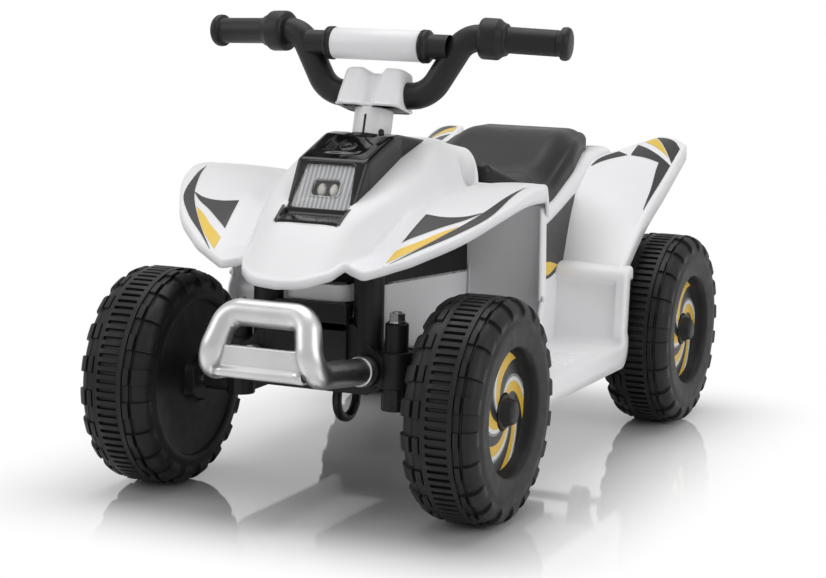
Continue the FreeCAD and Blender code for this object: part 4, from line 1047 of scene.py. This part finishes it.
# %% Handlebar and grips
GRIP_END, BEND_TOP, BEND_LOW = np.array([(181.7, -106, 412.3), (84, -118.6, 415.6), (51, -127, 360)])
BAR_RADIUS, BAR_BENDS = 12.5, [0, 24, 30, 30, 24, 0]
GRIP_START = 14
GRIP_AXIS = unit(GRIP_END - BEND_TOP)
GRIP_COLLAR = [(-0.2, 12.4), (0, 15.8), (0.6, 17.3), (2.2, 18.7), (4, 19), (16.5, 19), (17.6, 18.7), (21, 16),
               (23.6, 15), (25, 14.6), (25.8, 13.6), (26.4, 12.4), (27.6, 12.1)]
GRIP_FLANGE = [(12.6, 12.1), (12.2, 11.7), (11.4, 11.7), (11, 12.1), (9.4, 12.3), (8.6, 14.4), (7.6, 15.1),
               (5, 15.3), (3, 15), (1.4, 14), (0.4, 12), (0, 9), (0, 0.01)]


def both_sides(half_line):
    """A line drawn to the middle of the bike, then back along its mirror image."""
    return list(half_line) + [point * [-1, 1, 1] for point in half_line[::-1]]


bar_line = rounded(both_sides([BEND_TOP + 39 * GRIP_AXIS, BEND_TOP, BEND_LOW]), BAR_BENDS, 4)
bar = tube(bar_line, BAR_RADIUS, 48, (0, 1, 0))
add_piece("bar_tube", bar, "steering", "black_plastic", "handlebar", "grip_black")
grip_length = np.linalg.norm(GRIP_END - BEND_TOP) - GRIP_START
grip_profile = GRIP_COLLAR + [(grip_length - back, radius) for back, radius in GRIP_FLANGE]
grip = turned(grip_profile, BEND_TOP + GRIP_START * GRIP_AXIS, GRIP_AXIS, 72)
add_piece("grip_sleeve_left", grip, "steering", "grip_black", "grip_left")
add_piece("grip_sleeve_right", mirrored(grip), "steering", "grip_black", "grip_right")

# %% [markdown]
# ## Brace
# A brace joins the two legs of the bar, and a white sleeve covers its middle. Plain cylinders would leave
# out the grooves of its collars, so both are turned about one axis across the bike, from half a profile
# and its mirror image.

# %% Brace
BRACE = np.array([0, -127.5, 406])
BRACE_HALF = [(44.6, 11.5), (44.7, 14.6), (45.4, 15.5), (47, 15.6), (47.8, 14.6), (48.6, 14.6), (49.3, 15.5),
              (50.8, 15.3), (51.9, 14.2), (52.3, 12.3), (53, 11.6), (72, 11.5)]
PAD_HALF = [(0, 14.5), (43.6, 14.5), (44.3, 14.1), (44.6, 13.4), (44.6, 11.6)]
brace_profile = [(-place, radius) for place, radius in BRACE_HALF[::-1]] + BRACE_HALF
pad_profile = [(-place, radius) for place, radius in PAD_HALF[:0:-1]] + PAD_HALF
brace = turned(brace_profile, BRACE, X_AXIS)
add_piece("brace", brace, "steering", "black_plastic", "crossbar", "grip_black")
add_piece("brace_pad", turned(pad_profile, BRACE, X_AXIS), "steering", "body_white", "crossbar_pad")

# %% [markdown]
# ## Clamp
# A white clamp with two lobes holds the bar on the raked column. It is a stack of plan sections: each has
# a valley in front, and the stack narrows upwards and closes over its top. Two bevelled blocks would show
# a seam there.

# %% Clamp
RAKE = math.radians(15)
COLUMN_HEAD = np.array([0, -136, 335.0])
COLUMN_UP = np.array([0, math.sin(RAKE), math.cos(RAKE)])
COLUMN_BACK = np.array([0, math.cos(RAKE), -math.sin(RAKE)])
CLAMP_LOW, CLAMP_WAIST, CLAMP_TOP, CLAMP_EDGE = 11.5, 24, 49, 3.6
CLAMP_LEVELS = [CLAMP_LOW, CLAMP_WAIST, CLAMP_TOP]
CLAMP_INSET, VALLEY_DEPTH, NOTCH_DEPTH = 0.8, 7, 4


def on_column(x, back, up):
    """Points given across, behind and along the steering axis."""
    x, back, up = np.broadcast_arrays(x, back, up)
    return COLUMN_HEAD + x[..., None] * X_AXIS + back[..., None] * COLUMN_BACK + up[..., None] * COLUMN_UP


def clamp_section(height, shrink):
    """Closed plan line of the clamp at a height: two lobes with a valley in front."""
    wide = np.interp(height, CLAMP_LEVELS, [33, 32.5, 30]) - shrink
    front = np.interp(height, CLAMP_LEVELS, [-24, -21, -15]) + shrink
    rear = np.interp(height, CLAMP_LEVELS, [19, 19, 16]) - shrink
    valley = np.interp(height, [CLAMP_LOW, CLAMP_TOP], [5, 10])
    floor = front + VALLEY_DEPTH
    half = [(0, floor), (valley * 0.5, floor), (valley + 3, front), (wide, front), (wide, rear), (0, rear)]
    right = along(rounded(half, [0, 3, 4, 8, 7, 0], 6), 90)
    return np.concatenate([right, (right * [-1, 1])[-2:0:-1]])


def clamp_shape():
    """Rows climb the stack and then close over its top, which has a notch between the lobes."""
    turn = np.linspace(0.2, 1.57, 6)
    bend = CLAMP_TOP - CLAMP_EDGE
    over_edge, drawn_in = bend + CLAMP_EDGE * np.sin(turn), CLAMP_INSET + CLAMP_EDGE * (1 - np.cos(turn))
    heights = np.concatenate([[CLAMP_LOW, 12.2, 13.2, 14], np.linspace(16, bend, 16), over_edge])
    shrinks = np.concatenate([[2.0, 0.6, 0, CLAMP_INSET], np.full(16, CLAMP_INSET), drawn_in])
    sections = [clamp_section(height, shrink) for height, shrink in zip(heights, shrinks)]
    rings = [on_column(*section.T, height) for section, height in zip(sections, heights)]
    rim = clamp_section(CLAMP_TOP, CLAMP_INSET + CLAMP_EDGE)
    middle = np.column_stack([rim[:, 0], np.full(len(rim), 2.0)])
    caps = [on_column(*(rim + (middle - rim) * share).T, CLAMP_TOP) for share in np.linspace(0.1, 1, 9)]
    grid = np.stack(rings + caps)
    between_lobes = 1 - smooth(np.abs(grid[..., 0]), 5, 13)
    sunk = NOTCH_DEPTH * between_lobes * smooth((grid - COLUMN_HEAD) @ COLUMN_UP, 40, 48)
    return patch(grid - sunk[..., None] * COLUMN_UP, ring_columns=True)


add_piece("clamp_block", clamp_shape(), "steering", "body_white", "handlebar_clamp")

# %% [markdown]
# ## Column sleeve
# The sleeve below the clamp is a plain cylinder with a slit and a screw hole. Both are small, and dark with
# the shade inside them, so a thin black sheet of painted shade just off the sleeve shows them as well as a
# cut would.

# %% Column sleeve
SLEEVE_RADIUS, SHADE_SHEET_LIFT = 18, 0.12
HOLE_TURN, HOLE_UP, HOLE_RADIUS = 0.95, -11, 3.2


def on_sleeve(turn, up, lift):
    """Points just off the sleeve, by the angle from its front and the height along it."""
    radius = SLEEVE_RADIUS + lift
    return on_column(radius * np.sin(turn), -radius * np.cos(turn), up)


sleeve = turned([(-44, 17.9), (10.6, SLEEVE_RADIUS), (11.6, 17)], COLUMN_HEAD, COLUMN_UP, 96)
add_piece("column_cover", sleeve, "steering", "body_white", "column_sleeve")
# The slit's shade is painted: a thin black sheet just off the sleeve.
slit_turn, slit_up = np.meshgrid(np.linspace(-0.06, 0.06, 4), np.linspace(-24, 4, 12))
slit = patch(on_sleeve(slit_turn, slit_up, SHADE_SHEET_LIFT))
add_piece("column_slit_painted_shade", slit, "steering", "black_plastic", "column_sleeve", turn=False)
# The screw hole's shade is painted: a black disc just off the sleeve.
hole_r, hole_a = np.meshgrid(np.linspace(0.01, HOLE_RADIUS, 6), np.linspace(0, 2 * np.pi, 24, endpoint=False))
hole_lift = SHADE_SHEET_LIFT + 0.03
hole_turn = HOLE_TURN + hole_r * np.cos(hole_a) / (SLEEVE_RADIUS + hole_lift)
hole = patch(on_sleeve(hole_turn, hole_r * np.sin(hole_a) + HOLE_UP, hole_lift), ring_rows=True)
add_piece("column_screw_hole_painted_shade", hole, "steering", "black_plastic", "column_sleeve", turn=False)

# %% [markdown]
# ## Bumper and steering rod
# The bumper is a thick silver tube in one loop. A plate with a flat upper panel and a rounded lower lip
# fills the lower half of the loop, and a black collar on each arm hides where the tube plugs into the
# frame. The steering rod is bent into a U whose lower end shows under the frame. Both are tubes along
# rounded lines, as they would be bent.

# %% Bumper
BUMPER_LOW, BUMPER_TOP = np.array([(50.4, -359.6, 136.5), (37.5, -338, 183)])
BUMPER_RADIUS, BUMPER_BENDS = 12, [0, 18, 17, 17, 18, 0]
RING_PROFILE = [(7, 11.5), (7.5, 13.4), (10, 14.1), (16, 14), (18.5, 13.2), (19.5, 11.7)]
COLLAR_PROFILE = [(0, 11.5), (0, 14.2), (6.5, 14.2), (8, 13.4), (8.4, 11.8)]
PLATE_LINE = [(-351, 156.6), (-356.4, 156.6), (-356.4, 139), (-360.3, 136), (-360.3, 128.4), (-350, 128.4)]
arm = unit(BUMPER_LOW - BUMPER_END)
loop_line = rounded(both_sides([BUMPER_END + 9 * arm, BUMPER_LOW, BUMPER_TOP]), BUMPER_BENDS, 4)
add_piece("bumper_tube", tube(loop_line, BUMPER_RADIUS, 48), "chassis", "silver", "bumper_bar")
add_pair("bumper_ring", turned(RING_PROFILE, BUMPER_END, arm), "chassis", "silver", "bumper_bar")
add_pair("bumper_collar", turned(COLLAR_PROFILE, BUMPER_END, arm), "chassis", "black_plastic", "bumper_bar")
plate_y, plate_z = along(rounded(PLATE_LINE, [0, 2, 3, 3, 5, 0], 10), 70).T[..., None]
plate_x = (43 - 6 * (plate_z - 131) / 25) * np.linspace(-1, 1, 12)
plate = patch(np.stack(np.broadcast_arrays(plate_x, plate_y, plate_z), axis=-1)[::-1])
add_piece("bumper_panel", plate, "chassis", "silver", "bumper_plate", turn=False, wall=PANEL_WALL)

# %% Steering rod
ROD_RADIUS, ROD_BEND, ROD_LOW_Z, ROD_REACH, ROD_RISE = 4.45, 19, 71, 41.5, 56
rod_turn = COLUMN_HEAD + COLUMN_UP * (ROD_LOW_Z - COLUMN_HEAD[2]) / COLUMN_UP[2]
rod_far = rod_turn + ROD_REACH * COLUMN_BACK
rod_corners = [COLUMN_HEAD + 11 * COLUMN_UP, rod_turn, rod_far, rod_far + ROD_RISE * COLUMN_UP]
rod = tube(rounded(rod_corners, [0, ROD_BEND, ROD_BEND, 0], 6), ROD_RADIUS, 24, X_AXIS)
add_piece("rod", rod, "steering", "steel_black", "steering_rod")

# %% [markdown]
# ## Lamp housing
# The lamp housing and the dash are one glossy moulding. It is a belt over the hood: its side line climbs
# the lens face and runs back to the column, and each station is carried across with rounded edges and
# side walls down to the hood. Faces inside the lens opening and round the column are left out, which is
# quicker than a boolean cut and keeps the grid even.

# %% Places on the lens
LENS_LEAN = math.radians(58.6)
LENS_MIDDLE = np.array([0, -233.5, 283.4])
LENS_UP = np.array([0, math.cos(LENS_LEAN), math.sin(LENS_LEAN)])
LENS_OUT = np.array([0, -math.sin(LENS_LEAN), math.cos(LENS_LEAN)])
LENS_HALF_HEIGHT, LENS_LOW_HALF, LENS_HIGH_HALF = 22.8, 30.6, 24.8
LENS_POINTS = 160


def on_lens(x, up, out):
    """Points given across, up and out of the lens from its middle."""
    x, up, out = np.broadcast_arrays(x, up, out)
    return LENS_MIDDLE + x[..., None] * X_AXIS + up[..., None] * LENS_UP + out[..., None] * LENS_OUT


def lens_half(up):
    """Half the lens's width at a height: it narrows evenly upwards."""
    return np.interp(up, [-LENS_HALF_HEIGHT, LENS_HALF_HEIGHT], [LENS_LOW_HALF, LENS_HIGH_HALF])


def four_sided(rise, low, high, bend, step):
    """Closed line, as (x, up), whose half width goes from low to high, with rounded corners."""
    corners = [(0, -rise), (low, -rise), (high, rise), (-high, rise), (-low, -rise), (0, -rise)]
    return rounded(corners, [0, bend, bend, bend, bend, 0], step)


def lens_line(inset, bend):
    """The lens outline drawn in by inset, through LENS_POINTS places."""
    line = four_sided(LENS_HALF_HEIGHT - inset, LENS_LOW_HALF - inset, LENS_HIGH_HALF - inset, bend, 6)
    return along(line, LENS_POINTS + 1)[:-1]


print("the lens is", 2 * LENS_HALF_HEIGHT, "mm high")

# %% Lamp housing
HOUSING_LINE = [(-272.5, 249), (-270.5, 257.4), (-267.5, 256.4), (-249.6, 260.6), (-221, 307), (-166, 325.5),
                (-150, 326), (-84, 315), (-82, 308)]
HOUSING_BENDS = [0, 0.9, 1, 3, 9, 14, 14, 4, 0]
HOUSING_EDGE, HOUSING_FOOT, COLUMN_HOLE, LENS_LAP = 5.0, 5, 20.5, 0.2


def housing_shape():
    """Rows follow the side line, columns go across from one foot on the hood to the other."""
    line = along(rounded(HOUSING_LINE, HOUSING_BENDS, 8), 230)
    normal = left_of(line)
    y, z = line[:, :1], line[:, 1:]
    half = np.interp(y, [-275, -215, -150, -110, -94, -84], [32, 35.5, 36.5, 43, 45, 40])
    edge, turn = HOUSING_EDGE, np.linspace(np.pi / 2, 0, 7)
    across, sink = np.append(1, np.sin(turn)), np.append(1, 1 - np.cos(turn))
    flat = np.linspace(-1, 1, 60)[1:-1]
    inner = half - edge
    x = np.concatenate([-inner - edge * across, inner * flat, inner + edge * across[::-1]], axis=1)
    depth = np.concatenate([edge * sink, 0 * flat, edge * sink[::-1]]) * np.ones((len(line), 1))
    dish = 2.5 * smooth(y, -212, -196) * (1 - smooth(y, -168, -150)) * (1 - smooth(np.abs(x), 10, 26))
    sunk = 12 * smooth(y, -124, -112) * (1 - smooth(np.abs(x), 26, 36))
    depth = depth + dish + sunk
    yy, zz = y - depth * normal[:, :1], z - depth * normal[:, 1:]
    lift = np.maximum(cowl_height(x, yy) + 1 - zz, 0)
    zz = zz + lift * smooth(np.abs(x), half - 5, half - 2) * (1 - smooth(y, -252, -244))
    foot = cowl_height(half, y) - HOUSING_FOOT
    zz[:, [0]] = np.minimum(foot, zz[:, [1]] - 1)
    zz[:, [-1]] = np.minimum(foot, zz[:, [-2]] - 1)
    points, faces = patch(np.stack([x, yy, zz], axis=-1))
    middle = points[faces].mean(axis=1)
    from_lens, from_axis = middle - LENS_MIDDLE, middle - COLUMN_HEAD
    up = from_lens @ LENS_UP
    in_lens = (np.abs(from_lens[:, 0]) < lens_half(up) - LENS_LAP) & (from_lens @ LENS_OUT > -8)
    in_lens = in_lens & (np.abs(up) < LENS_HALF_HEIGHT - LENS_LAP)
    from_axis = from_axis - (from_axis @ COLUMN_UP)[:, None] * COLUMN_UP
    in_column = np.linalg.norm(from_axis, axis=1) < COLUMN_HOLE
    return points, faces[~(in_lens | in_column)]


add_piece("lamp_housing", housing_shape(), "chassis", "gloss_black", "headlight_bezel", turn=False)

# %% [markdown]
# ## Trim of the housing
# A raised bead frames the lens, a low collar rings the column, and a small boss stands on the dash.
# Bevels on the housing itself would need faces that follow the lens, which its even grid does not have.
# So the bead is a circle carried round the lens outline, and the other two are turned.

# %% Trim of the housing
BEAD_RADIUS, BEAD_OUT = 1.7, 0.4
COLLAR = [(-27, 18.6), (-14.6, 18.6), (-14.1, 19.4), (-14.1, 22), (-17, 22.5)]
BOSS = [(-4, 0.01), (-4, 2.6), (0.5, 2.8), (0.9, 3.4), (0.9, 6.8), (0.3, 8), (-2.5, 9)]
BOSS_PLACE, BOSS_UP = (0, -187, 315.8), (0, -0.37, 0.93)
bead_line = lens_line(-0.8, 6)
bead_line = np.concatenate([bead_line, bead_line[:1]])
bead_angle = np.linspace(0, 2 * np.pi, 20, endpoint=False)
bead_ring = bead_line[..., None] - left_of(bead_line)[..., None] * BEAD_RADIUS * np.cos(bead_angle)
bead_x, bead_up = bead_ring.swapaxes(0, 1)
bead = on_lens(bead_x, bead_up, BEAD_OUT + BEAD_RADIUS * np.sin(bead_angle))
housing_trim = {"lens_frame": patch(bead, ring_columns=True),
                "column_collar": turned(COLLAR, COLUMN_HEAD, COLUMN_UP, 72),
                "switch_boss": turned(BOSS, BOSS_PLACE, BOSS_UP, 48)}
for name, shape in housing_trim.items():
    add_piece(name, shape, "chassis", "gloss_black", "headlight_bezel")

# %% [markdown]
# ## Lens
# The lens is a thin clear cover with a slight crown. A filled outline would be flat, so rings of the
# outline, drawn in towards the middle, carry the crown. The cover has an outside, an inside and a closed
# edge, so that light bends in and out of it.

# %% Lens
LENS_CROWN, LENS_FRONT, LENS_THICKNESS = 1.2, 0.6, 1.5
scale, place = np.meshgrid(np.linspace(0.02, 1, 24), np.arange(LENS_POINTS), indexing="ij")
cover_x, cover_up = scale * np.moveaxis(lens_line(0.6, 5)[place], -1, 0)
crown = LENS_FRONT + LENS_CROWN * (1 - scale ** 4)
outside, inside = (on_lens(cover_x, cover_up, crown - depth) for depth in (0, LENS_THICKNESS))
cover = patch(np.concatenate([outside, inside[::-1]]), ring_columns=True)
add_piece("lens_cover", cover, "chassis", "clear_lens", "headlight_lens")

# %% [markdown]
# ## Lamp tray and lamps
# Behind the lens a fluted plate has a small window with a bead round it, and in it two lamps stand on a
# dark back. Flutes could be a bump in the finish alone, but then they would look flat at a low angle. So
# they are a sine wave across the plate, with the pitch that the finish uses. Each lamp is half an
# ellipsoid.

# %% Lamp tray and lamps
PLATE_OUT, FLUTE_DEPTH, BACK_OUT = -3.2, 0.2, -8.0
WINDOW_HALF, WINDOW_RISE = 14, 9
LAMP_X, LAMP_WIDE, LAMP_TALL, LAMP_DEEP = 6.2, 4.2, 6.4, 4.4
rise, share = np.linspace(-1, 1, 60), np.linspace(-1, 1, 300)
flute_up, flute_share = np.meshgrid(rise * LENS_HALF_HEIGHT, share, indexing="ij")
flute_x = flute_share * lens_half(flute_up)
flutes = FLUTE_DEPTH * np.abs(np.sin(np.pi * flute_x / FLUTE_PITCH))
points, faces = patch(on_lens(flute_x, flute_up, PLATE_OUT + flutes))
local = points[faces].mean(axis=1) - LENS_MIDDLE
window = (np.abs(local[:, 0]) < WINDOW_HALF - 0.6) & (np.abs(local @ LENS_UP) < WINDOW_RISE - 0.4)
add_piece("fluted_plate", (points, faces[~window]), "chassis", "reflector", "headlight_reflector", turn=False)
window_line = along(four_sided(WINDOW_RISE, WINDOW_HALF, WINDOW_HALF, 5, 10), 81)
window_bead = tube(on_lens(*window_line.T, -2.6), 0.9, 12, tuple(LENS_OUT))
add_piece("window_frame", window_bead, "chassis", "reflector", "headlight_reflector")
back_x, back_up = np.meshgrid(np.linspace(-14.5, 14.5, 13), np.linspace(-9.4, 9.4, 9))
lamp_back = patch(on_lens(back_x, back_up, BACK_OUT))
add_piece("lamp_back", lamp_back, "chassis", "battery_case", "headlight_reflector", "lamp_back", turn=False)
lift, turn = np.meshgrid(np.linspace(0, np.pi / 2, 14), np.linspace(0, 2 * np.pi, 40, endpoint=False))
for side, x in (("left", LAMP_X), ("right", -LAMP_X)):
    dome = on_lens(x + LAMP_WIDE * np.cos(lift) * np.cos(turn), LAMP_TALL * np.cos(lift) * np.sin(turn),
                   BACK_OUT + LAMP_DEEP * np.sin(lift))
    add_piece("lamp_" + side, patch(dome, ring_rows=True), "chassis", "led", "headlight_leds")

# %% [markdown]
# ## Stickers
# The colour on the bike is printed vinyl: dark sweeps with a yellow edge on the fenders and a panel on
# each flank. A sticker could be painted into the white finish, but as a thin sheet of its own it has a
# crisp edge. It lies between two lines drawn on the surface below it, and its height comes from that
# surface's own formula, lifted by a hair.

# %% Sticker helpers
STICKER_LIFT = 0.3


def between(low, high, columns=60, rows=16):
    """Places between two lines of one surface: columns run along the lines, rows from one to the other."""
    low, high = through(low, columns), through(high, columns)
    return low + (high - low) * np.linspace(0, 1, rows)[:, None, None]


def facing(grid, way):
    """The sheet of a grid, with its faces turned to the side of the direction way."""
    run, rise = np.diff(grid, axis=1)[:-1], np.diff(grid, axis=0)[:, :-1]
    return patch(grid if np.cross(run, rise).sum(axis=(0, 1)) @ way > 0 else grid[:, ::-1])


def on_cowl(places):
    """A sheet on the cowl: places are x and y."""
    height = cowl_height(places[..., 0], places[..., 1]) + STICKER_LIFT
    return facing(np.concatenate([places, height[..., None]], axis=-1), (0, 0, 1))


def on_fender(places):
    """A sheet on the rear fender: places are its u and v."""
    return facing(fender_sheet(places[..., 0], places[..., 1]) + [0, 0, STICKER_LIFT], (0, 0, 1))


def on_flank(places, lift=STICKER_LIFT):
    """A sheet on the flat flank: places are y and z."""
    x = np.full((*places.shape[:2], 1), FLANK_X + lift)
    return facing(np.concatenate([x, places], axis=-1), (1, 0, 0))


def add_sticker(name, shape, below, add=add_pair):
    """A sticker on both sides, or on one with add=add_piece: a flash is yellow and the others are dark."""
    colour = "vinyl_yellow" if "flash" in name else "vinyl_dark"
    add(name, shape, "chassis", "wheel_trim", below, colour, turn=False)


print("stickers stand", STICKER_LIFT, "mm proud")

# %% Stickers of the front fenders
FRONT_LINES = {
    "sweep": ([(83, -290), (105, -270), (134, -244), (152, -221), (159.5, -187), (163, -158)],
              [(83, -290), (106.4, -265.4), (121.7, -247.5), (143.8, -214.8), (153.5, -189.6), (163, -158)]),
    "wedge": ([(87.3, -258.9), (99.2, -249.9), (116.7, -236.5), (132.9, -225.2), (143.8, -214.8)],
              [(93.3, -221.4), (111, -223.6), (130.9, -220.5), (143.8, -213.8)]),
    "flash": ([(84, -284.5), (106.4, -264.6), (121.7, -246.8), (130, -235)],
              [(85.9, -269.4), (104.3, -255.8), (117.7, -243.8), (130, -234.6)]),
}
for name, lines in FRONT_LINES.items():
    add_sticker(name, on_cowl(between(*lines)), "front_cowl")

# %% [markdown]
# The tips of the rear fenders have a yellow flash between dark blades. Their lines are drawn in the
# fender's own two parameters, so that they run along its edge whatever its twist.

# %% Stickers of the rear fenders
TAIL_LINES = {
    "edge": ([(0.363, 0.975), (0.537, 0.913), (0.742, 0.75)], [(0.363, 0.985), (0.56, 0.985), (0.78, 0.985)]),
    "blade": ([(0.69, 0.27), (0.719, 0.475), (0.742, 0.75)], [(0.82, 0.062), (0.80, 0.5), (0.78, 0.985)]),
    "sliver": ([(0.494, 0.03), (0.59, 0.03), (0.688, 0.05)], [(0.50, 0.05), (0.60, 0.15), (0.681, 0.235)]),
    "cap": ([(0.968, 0.08), (0.905, 0.46), (0.83, 0.85), (0.80, 0.985)],
            [(0.975, 0.1), (0.978, 0.4), (0.97, 0.75), (0.945, 0.985)]),
    "flash": ([(0.876, 0.06), (0.85, 0.45), (0.825, 0.82)], [(0.963, 0.06), (0.90, 0.45), (0.828, 0.83)]),
}
for name, lines in TAIL_LINES.items():
    add_sticker("tail_" + name, on_fender(between(*lines)), "main_body")

# %% [markdown]
# The left flank has a long dark panel with a yellow flash. The right one carries the direction switch and
# the charging socket, so its panel starts behind them.

# %% Stickers of the flanks
PANEL = [(20, 193), (70, 168), (112, 164), (155, 174.5)], [(20, 194), (70, 213), (112, 223), (184, 245)]
FLASH = [(52, 181), (84, 170), (112, 168), (136, 175)], [(52, 182), (84, 182), (112, 181), (136, 175.6)]
SHORT_PANEL = [(118, 165), (135, 169), (155, 174.5)], [(104, 221), (143, 233), (184, 245)]
flank_sheets = {"panel_left": on_flank(between(*PANEL)),
                "flash_left": on_flank(between(*FLASH), 2 * STICKER_LIFT),
                "panel_right": mirrored(on_flank(between(*SHORT_PANEL)))}
for name, shape in flank_sheets.items():
    add_sticker("flank_" + name, shape, "main_body", add_piece)
